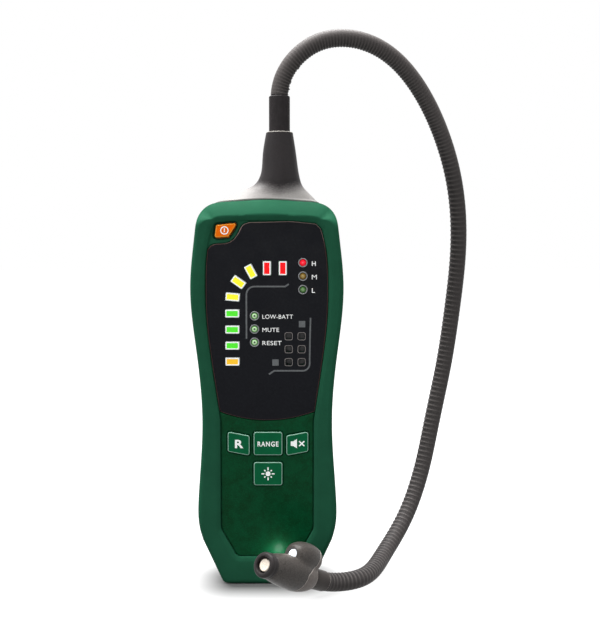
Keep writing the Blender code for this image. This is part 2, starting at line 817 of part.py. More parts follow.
def front_housing():
    """Front half shell with the sunk face, its openings, the screw bosses and the board's seats."""
    outline = body_outline()
    split = PARTING_Y - PARTING_GAP / 2
    rings = edge_rings(outline, FRONT_EDGE, TOP_EDGE, FRONT_Y, 1)
    rings.append(at_depth(outline, split))
    shell = loft("front_housing", rings, green_case())
    inner = offset(outline, WALL)
    cavity = prism("front_cavity", inner, BED_INNER_Y, split + WALL, black_part())
    recess = recess_outline()
    middle = (-FACE_DRAFT * 3 / 4, FRONT_Y + FACE_LIP / 4)
    steps = [(0.0, BED_Y), (0.0, FRONT_Y + FACE_LIP), middle]
    steps += [(-FACE_DRAFT, FRONT_Y), (-FACE_DRAFT, FRONT_Y - FACE_DROP)]
    face = loft("face_recess", [at_depth(offset(recess, d), y) for d, y in steps], black_part())
    bosses = bmesh.new()
    shoulders = bmesh.new()
    holes = bmesh.new()
    root_y = BED_INNER_Y - WALL / 2
    for centre in screw_centres():
        add_post(bosses, centre, BOSS_RADIUS, root_y, split - FIT_GAP)
        add_post(shoulders, centre, BOSS_RADIUS + BOSS_SHOULDER, root_y, BOARD_FRONT_Y - FIT_GAP)
        add_post(holes, centre, SCREW_RADIUS + FIT_GAP, screw_tip_y() - FIT_GAP, split + WALL)
    boss_group = new_object("front_bosses", bosses, black_part())
    shoulder_group = new_object("board_shoulders", shoulders, black_part())
    pilot_holes = new_object("pilot_holes", holes, black_part())
    keys = key_cutter("front_key_openings", key_outlines(), KEY_GAP)
    cut(shell, cavity, face)
    unite(shell, key_surround(), shoulder_group, boss_group)
    cut(shell, pilot_holes, keys, hole_cutter("front_light_holes"), spigot_hole("front_spigot_hole"))


def screw_head_y():
    """Depth of the seat under each screw head."""
    return BACK_Y - SCREW_HEAD_DEPTH


def screw_tip_y():
    """Depth that each screw's point reaches."""
    return screw_head_y() - SCREW_LENGTH


def rear_housing():
    """Rear half shell with the battery pocket, the ledge for its door and the screw posts."""
    outline = body_outline()
    split = PARTING_Y + PARTING_GAP / 2
    rings = edge_rings(outline, BACK_EDGE, BACK_EDGE, BACK_Y, -1)
    rings.append(at_depth(outline, split))
    shell = loft("rear_housing", rings, green_case())
    inner = offset(outline, WALL)
    inner_edge = edge_radius(outline, BACK_EDGE, BACK_EDGE) - WALL
    inner_rings = [at_depth(offset(inner, inner_edge), BACK_Y - WALL)]
    inner_rings += [at_depth(inner, BACK_Y - WALL - inner_edge), at_depth(inner, split - WALL)]
    cavity = loft("rear_cavity", inner_rings, black_part())
    middle = (0.0, (POCKET_BOTTOM + POCKET_TOP) / 2)
    pocket = (POCKET_WIDTH, POCKET_LENGTH)
    grow = 2 * POCKET_WALL
    walls = rectangle(middle, (pocket[0] + grow, pocket[1] + grow))
    rim = rectangle(middle, (pocket[0] + 2 * DOOR_LEDGE + grow, pocket[1] + 2 * DOOR_LEDGE + grow))
    ledge_y = DOOR_INNER_Y - FIT_GAP
    box = prism("pocket_walls", walls, POCKET_FLOOR_Y - POCKET_WALL, BACK_Y - WALL / 2, black_part())
    box_rim = prism("pocket_rim", rim, ledge_y - POCKET_WALL, BACK_Y - WALL / 2, black_part())
    space = prism("pocket_space", rectangle(middle, pocket), POCKET_FLOOR_Y, BACK_Y + WALL, black_part())
    opening = rectangle(middle, door_size(2 * FIT_GAP), DOOR_CORNER + FIT_GAP)
    doorway = prism("doorway", opening, ledge_y, BACK_Y + WALL, black_part())
    posts = bmesh.new()
    holes = bmesh.new()
    for centre in screw_centres():
        add_post(posts, centre, BOSS_RADIUS + BOSS_SHOULDER, split + FIT_GAP, BACK_Y - WALL / 2)
        add_post(holes, centre, SCREW_RADIUS + FIT_GAP, split - WALL, BACK_Y + WALL)
    post_group = new_object("rear_posts", posts, black_part())
    hole_group = new_object("screw_holes", holes, black_part())
    sinks = bmesh.new()
    sink = SCREW_HEAD_RADIUS + FIT_GAP
    for centre in screw_centres():
        add_post(sinks, centre, sink, screw_head_y() - FIT_GAP, BACK_Y + WALL, SMALL_SIDES)
    sink_group = new_object("screw_head_sinks", sinks, black_part())
    cut(shell, cavity)
    unite(shell, box, box_rim, post_group)
    cut(shell, space, doorway, hole_group, sink_group, spigot_hole("rear_spigot_hole"))


def door_size(grow=0.0):
    """Width and height of the door, or of the doorway round it."""
    return (DOOR_WIDTH + grow, DOOR_TOP - DOOR_BOTTOM + grow)


def battery_door():
    """Door that hooks in at its foot, snaps in at its top and carries a grip of ridges."""
    middle = (0.0, (DOOR_BOTTOM + DOOR_TOP) / 2)
    outline = rectangle(middle, door_size(), DOOR_CORNER) - np.array((0.0, DOOR_BOTTOM))
    rings = [at_depth(outline, -DOOR_THICKNESS), at_depth(outline, -DOOR_GRIP_SIZE[2])]
    rings.append(at_depth(offset(outline, DOOR_GRIP_SIZE[2]), 0.0))
    door = loft("battery_door", rings, green_case())
    ridges = bmesh.new()
    width, height, rise = DOOR_GRIP_SIZE
    for i in range(DOOR_GRIP_COUNT):
        z = DOOR_TOP - DOOR_BOTTOM - DOOR_GRIP_START - i * DOOR_GRIP_PITCH
        outer = rectangle((0.0, z), (width, height))
        add_loft(ridges, [at_depth(outer, -rise), at_depth(offset(outer, rise / 2), rise)])
    unite(door, new_object("door_ridges", ridges, black_part()))
    place(door, (0.0, BACK_Y, DOOR_BOTTOM))
    place(bpy.data.objects["door_ridges"], (0.0, BACK_Y, DOOR_BOTTOM))


def window_and_panel():
    """The glossy window and the textured keypad panel, both set in the recess."""
    back = FACE_Y + PLATE_THICKNESS
    window = prism("display_window", window_outline(), FACE_Y, back, black_window())
    cut(window, hole_cutter("window_holes"))
    panel = prism("keypad_panel", panel_outline(), FACE_Y, back, green_panel())
    names = [n for n in key_outlines() if n != "power_key"]
    cut(panel, key_cutter("panel_key_openings", names, KEY_GAP))


def key(name, outline, centre, finish, rise):
    """A key cap with a bevelled edge, and a flange that keeps it behind the shell."""
    local = outline - np.array(centre)
    base_y = BED_INNER_Y
    top = FACE_Y - rise - base_y
    flange_front = KEY_FLANGE_Y - base_y
    wide = offset(local, -KEY_FLANGE)
    steps = [(offset(local, KEY_BEVEL), top), (local, top + KEY_BEVEL), (local, flange_front)]
    steps += [(wide, flange_front), (wide, flange_front + KEY_FLANGE_THICKNESS)]
    cap = loft(name, [at_depth(o, y) for o, y in steps], finish)
    return place(cap, (centre[0], base_y, centre[1]))


def keys_and_switches():
    """Five keys, each over its own push switch on the board."""
    for name, (outline, centre) in key_outlines().items():
        power = name == "power_key"
        rise = POWER_KEY_RISE if power else KEY_RISE
        key(name, outline, centre, orange_key() if power else green_key(), rise)
        size = (SWITCH_SIZE, SWITCH_SIZE)
        body_y = SWITCH_TOP_Y + SWITCH_BUTTON_HEIGHT
        switch_name = name.replace("key", "switch")
        switch = prism(switch_name, rectangle(centre, size), body_y, SWITCH_BACK_Y, black_part())
        post = bmesh.new()
        add_post(post, centre, SWITCH_BUTTON_RADIUS, SWITCH_TOP_Y, body_y + SWITCH_HEIGHT / 2)
        unite(switch, new_object(switch_name + "_button", post, black_part()))


def circuit_board():
    """The board, which fits inside the shell and over the bosses."""
    inner = offset(body_outline(), WALL + BOARD_MARGIN)
    keep = inner[(inner[:, 1] > BOARD_BOTTOM) & (inner[:, 1] < BOARD_TOP)]
    board = prism("circuit_board", keep, BOARD_FRONT_Y, BOARD_BACK_Y, board_green())
    holes = bmesh.new()
    for centre in screw_centres():
        add_post(holes, centre, BOSS_RADIUS + FIT_GAP, BOARD_FRONT_Y - WALL, BOARD_BACK_Y + WALL)
    cut(board, new_object("board_holes", holes, black_part()))


BAR_COLOURS = ("amber", "green", "green", "green", "yellow", "yellow", "yellow", "red", "red")
LIGHT_COLOURS = {
    "amber": (1.0, 0.50, 0.03),
    "green": (0.06, 0.85, 0.03),
    "yellow": (1.0, 0.90, 0.03),
    "red": (1.0, 0.0, 0.01),
}


def dome(radius, top):
    """Profile of a half round end of the given radius, up to its pole."""
    angles = np.linspace(0, math.pi / 2, DOME_STEPS)[:-1]
    return [(radius * math.cos(a), top - radius + radius * math.sin(a)) for a in angles] + [(0, top)]


def lights():
    """Nine bar lights and six round lamps, which stand on the board and fill their holes."""
    foot_y = BOARD_FRONT_Y - FIT_GAP
    for i, (x, z, turn) in enumerate(bar_places()):
        colour = BAR_COLOURS[i]
        outline = rectangle((x, z), BAR_SIZE, angle=turn)
        prism(f"bar_light_{i + 1}", outline, FACE_Y, foot_y, lens(colour + "_lens", LIGHT_COLOURS[colour]))
    profile = [(LAMP_RADIUS, 0.0)] + dome(LAMP_RADIUS, foot_y - FACE_Y + LAMP_RISE)
    for name, (x, z) in lamp_places().items():
        colour = {"high_lamp": "red", "medium_lamp": "amber"}.get(name, "green")
        lamp = turned(name, profile, lens(colour + "_lens", LIGHT_COLOURS[colour]), SMALL_SIDES)
        place(lamp, (x, foot_y, z), FORWARD)


def sounder():
    """The sounder on the board behind the six holes."""
    holes = np.array(sound_hole_places())
    x, z = holes.mean(axis=0)
    profile = [(SOUNDER_RADIUS, 0.0), (SOUNDER_RADIUS, SOUNDER_HEIGHT)]
    can = turned("sounder", profile, black_part(), SMALL_SIDES + 2)
    place(can, (x, BOARD_FRONT_Y - FIT_GAP, z), FORWARD)


def cell(name, x, bottom, upright):
    """An AA cell with its nub, the nub up or down."""
    nub_radius, nub_height = CELL_NUB
    can = CELL_LENGTH - nub_height
    profile = [(CELL_RADIUS, 0.0), (CELL_RADIUS, can), (nub_radius, can), (nub_radius, CELL_LENGTH)]
    obj = turned(name, profile, cell_wrap(), SMALL_SIDES + 2)
    if upright:
        return place(obj, (x, CELL_Y, bottom))
    return place(obj, (x, CELL_Y, bottom + CELL_LENGTH), Matrix.Rotation(math.pi, 3, "X"))


def coil_spring(name, x, bottom):
    """A wound contact spring that fills its length between the contact and the cell."""
    steps = int(SPRING_TURNS * SPRING_STEPS_PER_TURN)
    bm = bmesh.new()
    rings = []
    for i in range(steps + 1):
        angle = i / steps * SPRING_TURNS * 2 * math.pi
        out = Vector((math.cos(angle), math.sin(angle), 0.0))
        rise = SPRING_WIRE + (SPRING_LENGTH - 2 * SPRING_WIRE) * i / steps
        centre = out * SPRING_RADIUS + Vector((0.0, 0.0, rise))
        ring = []
        for j in range(SPRING_WIRE_SIDES):
            a = j * 2 * math.pi / SPRING_WIRE_SIDES
            ring.append(centre + out * SPRING_WIRE * math.cos(a) + Vector((0, 0, SPRING_WIRE * math.sin(a))))
        rings.append(ring)
    add_loft(bm, rings)
    place(new_object(name, bm, spring_steel()), (x, CELL_Y, bottom))


def contact(name, x, bottom, width):
    """A flat contact plate against the pocket's end wall."""
    outline = rectangle((x, bottom + CONTACT_THICKNESS / 2), (width, CONTACT_THICKNESS))
    prism(name, outline, POCKET_FLOOR_Y + FIT_GAP, DOOR_INNER_Y - CELL_RADIUS, spring_steel())


def batteries():
    """Four cells in two columns, the left one nub up and the right one nub down."""
    half = CELL_SPACING / 2
    floor = POCKET_BOTTOM + FIT_GAP
    ceiling = POCKET_TOP - FIT_GAP - CONTACT_THICKNESS
    left = floor + CONTACT_THICKNESS + FIT_GAP + SPRING_LENGTH + FIT_GAP
    right = floor + CONTACT_THICKNESS + FIT_GAP
    step = CELL_LENGTH + FIT_GAP
    cell("cell_lower_left", -half, left, True)
    cell("cell_upper_left", -half, left + step, True)
    cell("cell_lower_right", half, right, False)
    cell("cell_upper_right", half, right + step, False)
    coil_spring("contact_spring_left", -half, floor + CONTACT_THICKNESS + FIT_GAP)
    coil_spring("contact_spring_right", half, ceiling - FIT_GAP - SPRING_LENGTH)
    plate = 2 * CELL_RADIUS
    contact("contact_plate_left", -half, floor, plate)
    contact("contact_plate_right", half, floor, plate)
    contact("contact_bridge", 0.0, ceiling, CELL_SPACING + plate)


def screws():
    """Four screws that pull the rear shell to the front shell's bosses."""
    profile = [(0, -SCREW_LENGTH), (SCREW_RADIUS, -SCREW_LENGTH + SCREW_RADIUS), (SCREW_RADIUS, 0.0)]
    profile += [(SCREW_HEAD_RADIUS, 0.0), (SCREW_HEAD_RADIUS, SCREW_HEAD_HEIGHT / 2)]
    profile += [(SCREW_HEAD_TOP_RADIUS, SCREW_HEAD_HEIGHT), (0, SCREW_HEAD_HEIGHT)]
    names = ("lower_left", "lower_right", "upper_left", "upper_right")
    for name, (x, z) in zip(names, screw_centres()):
        screw = turned("housing_screw_" + name, profile, spring_steel(), SMALL_SIDES)
        place(screw, (x, screw_head_y(), z), BACKWARD)


def oval_ring(left, right, half_depth, height, sides=ROUND_SIDES):
    """A ring of the neck: an oval between a left and a right edge."""
    angles = np.arange(sides) * 2 * math.pi / sides
    middle, half = (left + right) / 2, (right - left) / 2
    x = middle + half * np.cos(angles)
    y = half_depth * np.sin(angles)
    return np.stack([x, y, np.broadcast_to(height, sides)], axis=1)


def body_top(x):
    """Height of the housing's crown above a point."""
    outline = body_outline()
    crown = outline[outline[:, 1] > 0.9 * BODY_HEIGHT]
    order = np.argsort(crown[:, 0])
    return np.interp(x, crown[order, 0], crown[order, 1])


def neck_cone():
    """Moulded neck: a saddle that follows the housing's crown and flares up into a round cone."""
    left, right, depth = NECK_FOOT
    foot = oval_ring(left, right, depth, 0.0)
    foot[:, 2] = body_top(foot[:, 0]) + FIT_GAP
    edge = oval_ring(left, right, depth, 0.0)
    edge[:, 2] = foot[:, 2] + NECK_EDGE
    rings = [foot, edge]
    for height, low, high, half_depth in NECK_SECTIONS:
        rings.append(oval_ring(low, high, half_depth, BODY_HEIGHT + height))
    neck = loft("neck_cone", rings, grey_plastic(), strip_start=True)
    flange_top = body_top(NECK_X + SPIGOT_RADIUS + SPIGOT_FLANGE) - WALL - FIT_GAP
    flange = SPIGOT_RADIUS + SPIGOT_FLANGE
    profile = [(flange, flange_top - SPIGOT_FLANGE_THICKNESS), (flange, flange_top)]
    profile += [(SPIGOT_RADIUS, flange_top), (SPIGOT_RADIUS, BODY_HEIGHT + 3 * WALL)]
    spigot = place(turned("neck_spigot", profile, grey_plastic()), (NECK_X, 0, 0))
    radius = COLLAR_RADIUS + FIT_GAP
    socket_profile = [(radius, COLLAR_BOTTOM - FIT_GAP), (radius, NECK_TOP + WALL)]
    socket = turned("collar_socket", socket_profile, black_part())
    unite(neck, spigot)
    cut(neck, place(socket, (NECK_X, 0, 0)))


def collar():
    """Sleeve that holds the gooseneck in the neck."""
    bore = NECK_TUBE_CORE + FIT_GAP
    low, top = COLLAR_BOTTOM, COLLAR_TOP
    rim = COLLAR_RADIUS - COLLAR_RIM
    profile = [(bore, low), (COLLAR_RADIUS, low), (COLLAR_RADIUS, top - COLLAR_RIM), (rim, top)]
    profile += [(bore, top), (bore, low)]
    place(turned("base_collar", profile, black_rubber()), (NECK_X, 0, 0))


def head_matrix():
    """The head's own frame: Z towards the tip, Y up the side with the lamp."""
    forward = Vector(TIP_DIRECTION).normalized()
    up = (Vector((0, 0, 1)) - forward * forward.z).normalized()
    side = up.cross(forward)
    return Matrix((side, up, forward)).transposed()


def head_point(back):
    """A point on the head's axis, a length behind the tip."""
    return Vector(TIP) - Vector(TIP_DIRECTION).normalized() * back


def barrel_start():
    """How far behind the tip the barrel starts, just behind the sensor cap."""
    return CAP_LENGTH + FIT_GAP


def ferrule_start():
    """How far behind the tip the ferrule starts, just behind the barrel."""
    return barrel_start() + BARREL_SECTIONS[-1][0] + FIT_GAP


def gooseneck():
    """The ribbed flexible tube, plain where it goes into its collar and its ferrule."""
    ferrule_end = ferrule_start() + FERRULE_LENGTH
    foot = COLLAR_BOTTOM + FIT_GAP
    start = [(NECK_X, 0, z) for z in np.linspace(foot, COLLAR_TOP, 4)]
    lowest = NECK_TUBE_RADIUS + FIT_GAP
    heights = [lowest + share * (COLLAR_TOP - lowest) for share in ROUTE_HEIGHT_SHARES]
    middle = [(x, y, z) for (x, y), z in zip(ROUTE_PLAN, heights)]
    end = [tuple(head_point(back)) for back in np.linspace(ferrule_end, ferrule_start() + FIT_GAP, 4)]
    fine = spline(start + middle + end, 24)
    lengths = np.concatenate([[0.0], np.cumsum(np.linalg.norm(np.diff(fine, axis=0), axis=1))])
    plain_start = COLLAR_TOP - foot
    plain_end = lengths[-1] - (FERRULE_LENGTH - FIT_GAP)
    ribs = int((plain_end - plain_start - 2 * FIT_GAP) / RIB_PITCH)
    pitch = (plain_end - plain_start - 2 * FIT_GAP) / ribs
    first = plain_start + FIT_GAP
    stations = [(0.0, NECK_TUBE_CORE), (first, NECK_TUBE_CORE)]
    for i in range(ribs):
        stations.append((first + i * pitch, NECK_TUBE_RADIUS - RIB_DEPTH))
        stations.append((first + (i + 0.5) * pitch, NECK_TUBE_RADIUS))
    stations.append((plain_end - FIT_GAP, NECK_TUBE_RADIUS - RIB_DEPTH))
    stations.append((plain_end - FIT_GAP, NECK_TUBE_CORE))
    stations.append((lengths[-1], NECK_TUBE_CORE))
    rings = []
    side = Vector((1, 0, 0))
    for distance, radius in stations:
        centre = Vector([np.interp(distance, lengths, fine[:, k]) for k in range(3)])
        probe = RIB_PITCH / 2
        ahead = [np.interp(min(distance + probe, lengths[-1]), lengths, fine[:, k]) for k in range(3)]
        behind = [np.interp(max(distance - probe, 0.0), lengths, fine[:, k]) for k in range(3)]
        along = (Vector(ahead) - Vector(behind)).normalized()
        side = (side - along * side.dot(along)).normalized()
        other = along.cross(side)
        ring = []
        for i in range(TUBE_SIDES):
            a = i * 2 * math.pi / TUBE_SIDES
            ring.append(centre + radius * (math.cos(a) * side + math.sin(a) * other))
        rings.append(ring)
    loft("gooseneck", rings, black_rubber())


def head_piece(obj, back=0.0, lift=0.0):
    """Places a piece on the head, a length behind the tip and above its axis."""
    frame = head_matrix()
    return place(obj, head_point(back) + frame @ Vector((0.0, lift, 0.0)), frame)


def sensor_and_cap():
    """The sensor and the ring-shaped cap that screws on over it."""
    bore = SENSOR_RADIUS + FIT_GAP
    lip = CAP_HOLE_RADIUS + CAP_RIM / 2
    shoulder = CAP_LENGTH / 2
    profile = [(CAP_HOLE_RADIUS, -CAP_RIM), (lip, 0.0), (CAP_RADIUS - CAP_RIM, 0.0), (CAP_RADIUS, -CAP_RIM)]
    profile += [(CAP_RADIUS, -CAP_LENGTH), (bore, -CAP_LENGTH), (bore, -shoulder)]
    profile += [(CAP_HOLE_RADIUS, -shoulder), (CAP_HOLE_RADIUS, -CAP_RIM)]
    head_piece(turned("sensor_cap", profile, black_rubber()))
    edge = SENSOR_EDGE
    profile = [(SENSOR_RADIUS, -SENSOR_LENGTH), (SENSOR_RADIUS, -edge), (SENSOR_RADIUS - edge, 0.0)]
    sensor = turned("sensor", profile, material("sensor_mesh", (0.75, 0.68, 0.58), 0.7), SMALL_SIDES)
    head_piece(sensor, SENSOR_DEPTH)


def head_form(name):
    """The whole outside of the head: a swelling barrel with the lamp turret grown out of it."""
    barrel = turned(name, [(radius, -back) for back, radius in BARREL_SECTIONS], head_plastic())
    turret = turned(name + "_turret", [(r, -back) for back, r in TURRET_SECTIONS], head_plastic())
    radius, lift, start, end = TURRET_WEB
    web = turned(name + "_web", [(radius, -end), (radius, -start)], head_plastic())
    head_piece(turret, TURRET_START, TURRET_OFFSET)
    head_piece(web, TURRET_START, lift)
    unite(barrel, web, turret)
    return head_piece(barrel, barrel_start())


def seam_cutter(name, front):
    """A block in front of or behind the seam, which steps back over the turret."""
    shift = FIT_GAP / 2 * (-1 if front else 1)
    reach = 2 * (TURRET_START + TURRET_SECTIONS[-1][0])
    far = reach if front else -reach
    line = [(lift, -(back - shift)) for lift, back in SEAM]
    outline = line + [(line[-1][0], far), (line[0][0], far)]
    wide = 3 * TURRET_OFFSET
    rings = [[(x, lift, along) for lift, along in outline] for x in (-wide, wide)]
    return head_piece(loft(name, rings, black_part()))


def head_front_shell():
    """Front half of the head, with the bores for the sensor and the lamp."""
    shell = head_form("head_front_shell")
    start = barrel_start()
    bore = SENSOR_RADIUS + FIT_GAP
    depth = SENSOR_DEPTH + SENSOR_LENGTH - start + FIT_GAP
    sensor_bore = turned("sensor_bore", [(bore, -depth), (bore, WALL)], black_part(), SMALL_SIDES)
    head_piece(sensor_bore, start)
    led_bore = LED_RADIUS + FIT_GAP
    led_depth = LED_LENGTH + FIT_GAP
    lamp_bore = turned("lamp_bore", [(led_bore, -led_depth), (led_bore, WALL)], black_part(), SMALL_SIDES)
    head_piece(lamp_bore, TURRET_START, TURRET_OFFSET)
    cut(shell, seam_cutter("behind_seam", False), sensor_bore, lamp_bore)


def head_rear_shell():
    """Rear half of the head: a tapering band and the turret's rounded back, clear of the ferrule."""
    shell = head_form("head_rear_shell")
    radius = FERRULE_RADIUS + FIT_GAP
    relief = turned("ferrule_relief", [(radius, -FERRULE_LENGTH), (radius, 0.0)], black_part())
    head_piece(relief, barrel_start() + BARREL_SECTIONS[-1][0])
    cut(shell, seam_cutter("before_seam", True), relief)


def tip_ferrule():
    """Tapered ferrule between the head and the gooseneck."""
    bore = NECK_TUBE_CORE + FIT_GAP
    profile = [(bore, 0.0), (FERRULE_RADIUS, 0.0), (FERRULE_RADIUS, -FERRULE_RIM)]
    profile += [(FERRULE_END_RADIUS, -FERRULE_LENGTH), (bore, -FERRULE_LENGTH), (bore, 0.0)]
    head_piece(turned("tip_ferrule", profile, black_rubber()), ferrule_start())


def head_lamp():
    """White lamp in the turret."""
    profile = [(LED_RADIUS, -LED_LENGTH)] + dome(LED_RADIUS, LED_RISE)
    lamp = turned("head_lamp", profile, lens("white_lens", (0.95, 0.97, 1.0)), SMALL_SIDES)
    head_piece(lamp, TURRET_START, TURRET_OFFSET)


def main():
    """Builds every piece."""
    remove_old_objects()
    front_housing()
    rear_housing()
    battery_door()
    window_and_panel()
    keys_and_switches()
    circuit_board()
    lights()
    sounder()
    batteries()
    screws()
    neck_cone()
    collar()
    gooseneck()
    sensor_and_cap()
    head_front_shell()
    head_rear_shell()
    tip_ferrule()
    head_lamp()


main()
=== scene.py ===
"""Looks of the handheld refrigerant leak detector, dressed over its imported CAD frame.

Metres, +Z up. The display side faces -Y and the origin is the middle of the base. Each class
is one sub-assembly: it holds its sizes, works its surfaces out with numpy and dresses them.
"""

from __future__ import annotations

import json
import logging
import math
from dataclasses import dataclass
from enum import Enum

import bmesh
import bpy
import numpy as np
from mathutils import Matrix, Vector
from mathutils.geometry import delaunay_2d_cdt

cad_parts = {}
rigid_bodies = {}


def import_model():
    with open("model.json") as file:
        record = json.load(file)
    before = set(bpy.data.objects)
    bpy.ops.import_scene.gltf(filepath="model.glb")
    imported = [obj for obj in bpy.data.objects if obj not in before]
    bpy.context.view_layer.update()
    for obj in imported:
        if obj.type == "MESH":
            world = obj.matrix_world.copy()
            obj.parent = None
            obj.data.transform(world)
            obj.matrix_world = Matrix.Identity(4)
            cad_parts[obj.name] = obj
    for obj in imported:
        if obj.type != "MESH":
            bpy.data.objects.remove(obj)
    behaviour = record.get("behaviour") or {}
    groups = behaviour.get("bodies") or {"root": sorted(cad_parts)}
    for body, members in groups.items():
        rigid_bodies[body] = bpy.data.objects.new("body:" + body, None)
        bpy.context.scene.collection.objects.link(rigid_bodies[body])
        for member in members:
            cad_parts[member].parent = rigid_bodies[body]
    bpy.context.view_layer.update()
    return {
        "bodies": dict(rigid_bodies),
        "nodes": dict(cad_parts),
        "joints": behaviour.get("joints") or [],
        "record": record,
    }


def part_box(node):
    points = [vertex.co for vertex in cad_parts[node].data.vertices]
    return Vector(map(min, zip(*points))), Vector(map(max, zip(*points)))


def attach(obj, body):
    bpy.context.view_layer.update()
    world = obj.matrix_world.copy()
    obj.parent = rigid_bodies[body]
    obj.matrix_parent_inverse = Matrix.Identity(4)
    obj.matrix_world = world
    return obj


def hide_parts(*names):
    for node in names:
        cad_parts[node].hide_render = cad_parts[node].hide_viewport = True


LOG = logging.getLogger("leak_detector")

RGB = tuple[float, float, float]
Pair = tuple[float, float]
Stops = tuple[tuple[float, RGB], ...]


def linear(colour: RGB) -> tuple[float, float, float, float]:
    """A screen colour as linear light.

    Args:
        colour: Red, green and blue as seen on a screen, 0 to 255 each.

    Returns:
        The same colour as linear light from 0 to 1, with full alpha.
    """
    share = np.array(colour, dtype=float) / 255
    low = share / 12.92
    high = ((share + 0.055) / 1.055) ** 2.4
    return (*(float(x) for x in np.where(share <= 0.04045, low, high)), 1.0)


class ShaderTree:
    """A material's node tree, with short calls for the nodes that the finishes share."""

    def __init__(self, name: str) -> None:
        """Starts a material.

        Args:
            name: The material's name.
        """
        self.material = bpy.data.materials.new(name)
        self.material.use_nodes = True
        self.tree = self.material.node_tree
        self.surface = self.tree.nodes["Principled BSDF"]
        self.place = self.node("ShaderNodeTexCoord").outputs["Object"]

    def node(self, kind: str, inputs: dict | None = None, **settings: object) -> bpy.types.Node:
        """Adds a node.

        Args:
            kind: Blender's name of the node type.
            inputs: Values or sockets for its inputs, by name or number.
            settings: Properties of the node itself.

        Returns:
            The new node.
        """
        made = self.tree.nodes.new(kind)
        for key, value in settings.items():
            setattr(made, key, value)
        for key, value in (inputs or {}).items():
            self.feed(made.inputs[key], value)
        return made

    def feed(self, socket: bpy.types.NodeSocket, value: object) -> None:
        """Links a socket to an output, or sets it to a plain value.

        Args:
            socket: The input to fill.
            value: An output socket, a number or a colour.
        """
        if isinstance(value, bpy.types.NodeSocket):
            self.tree.links.new(value, socket)
        else:
            socket.default_value = value

    def set(self, name: str, value: object) -> None:
        """Fills one input of the surface shader, from a socket or with a plain value."""
        self.feed(self.surface.inputs[name], value)

    def stretched(self, scale: tuple[float, float, float]) -> bpy.types.NodeSocket:
        """The object's own coordinates, stretched by a scale for each axis."""
        return self.node("ShaderNodeMapping", {"Vector": self.place, "Scale": scale}).outputs["Vector"]

    def noise(
        self,
        size: float,
        detail: float = 3.0,
        coarse: float = 0.5,
        source: bpy.types.NodeSocket | None = None,
    ) -> bpy.types.NodeSocket:
        """Soft random patches.

        Args:
            size: Width of a patch in metres.
            detail: Number of finer layers on top.
            coarse: Weight of the finer layers.
            source: Coordinates to read, or the object's own.

        Returns:
            The noise as a number from 0 to 1.
        """
        inputs = {"Vector": source or self.place, "Scale": 1 / size, "Detail": detail, "Roughness": coarse}
        return self.node("ShaderNodeTexNoise", inputs).outputs["Fac"]

    def share(self) -> bpy.types.NodeSocket:
        """The number that the mesh carries at each of its points."""
        return self.node("ShaderNodeAttribute", attribute_name="share").outputs["Fac"]

    def ramp(self, source: bpy.types.NodeSocket, stops: Stops) -> bpy.types.NodeSocket:
        """A colour that follows a number.

        Args:
            source: The number, 0 to 1.
            stops: Places along the number, each with a screen colour.

        Returns:
            The colour.
        """
        made = self.node("ShaderNodeValToRGB", {"Fac": source})
        elements = made.color_ramp.elements
        while len(elements) < len(stops):
            elements.new(0.5)
        for element, (place, colour) in zip(elements, stops):
            element.position = place
            element.color = linear(colour)
        return made.outputs["Color"]

    def span(self, source: bpy.types.NodeSocket, start: Pair, end: Pair) -> bpy.types.NodeSocket:
        """A number moved from one range to another.

        Args:
            source: The number.
            start: The range that it comes in.
            end: The range that it goes out in.

        Returns:
            The moved number, held inside the new range.
        """
        inputs = {"Value": source, "From Min": start[0], "From Max": start[1]}
        inputs |= {"To Min": end[0], "To Max": end[1]}
        return self.node("ShaderNodeMapRange", inputs).outputs["Result"]

    def vector(self, kind: str, *values: object, output: str = "Vector") -> bpy.types.NodeSocket:
        """A sum on vectors, by Blender's name of its kind."""
        return self.node("ShaderNodeVectorMath", dict(enumerate(values)), operation=kind).outputs[output]

    def mix(self, share: bpy.types.NodeSocket, first: object, second: object) -> bpy.types.NodeSocket:
        """Mixes two colours.

        Args:
            share: How much of the second one, 0 to 1.
            first: A colour or a colour socket.
            second: A colour or a colour socket.

        Returns:
            The mixed colour.
        """
        inputs = {0: share, 6: first, 7: second}
        return self.node("ShaderNodeMix", inputs, data_type="RGBA").outputs[2]

    def sums(self, kind: str, first: object, second: object = 0.0) -> bpy.types.NodeSocket:
        """One sum of two numbers, by Blender's name for it."""
        return self.node("ShaderNodeMath", {0: first, 1: second}, operation=kind).outputs[0]

    def height(self, axis: int = 2) -> bpy.types.NodeSocket:
        """One of the object's own coordinates, by the number of its axis."""
        return self.node("ShaderNodeSeparateXYZ", {0: self.place}).outputs[axis]

    def bump(self, source: bpy.types.NodeSocket, depth: float) -> None:
        """Raises the surface's shading by a number.

        Args:
            source: Height as a share of the depth.
            depth: The depth in metres.
        """
        inputs = {"Height": source, "Distance": depth, "Strength": 1.0}
        self.set("Normal", self.node("ShaderNodeBump", inputs).outputs["Normal"])


@dataclass(frozen=True)
class Finish:
    """A surface finish that is made into a material once."""

    name: str
    colour: RGB

    def material(self) -> bpy.types.Material:
        """The finish as a material, made at its first use.

        Returns:
            The material.
        """
        found = bpy.data.materials.get(self.name)
        if found:
            return found
        tree = ShaderTree(self.name)
        tree.material.diffuse_color = linear(self.colour)
        self.paint(tree)
        return tree.material

    def paint(self, tree: ShaderTree) -> None:
        """Sets the colour and gloss. Each finish has its own way.

        Args:
            tree: The material's node tree.
        """
        tree.set("Base Color", linear(self.colour))


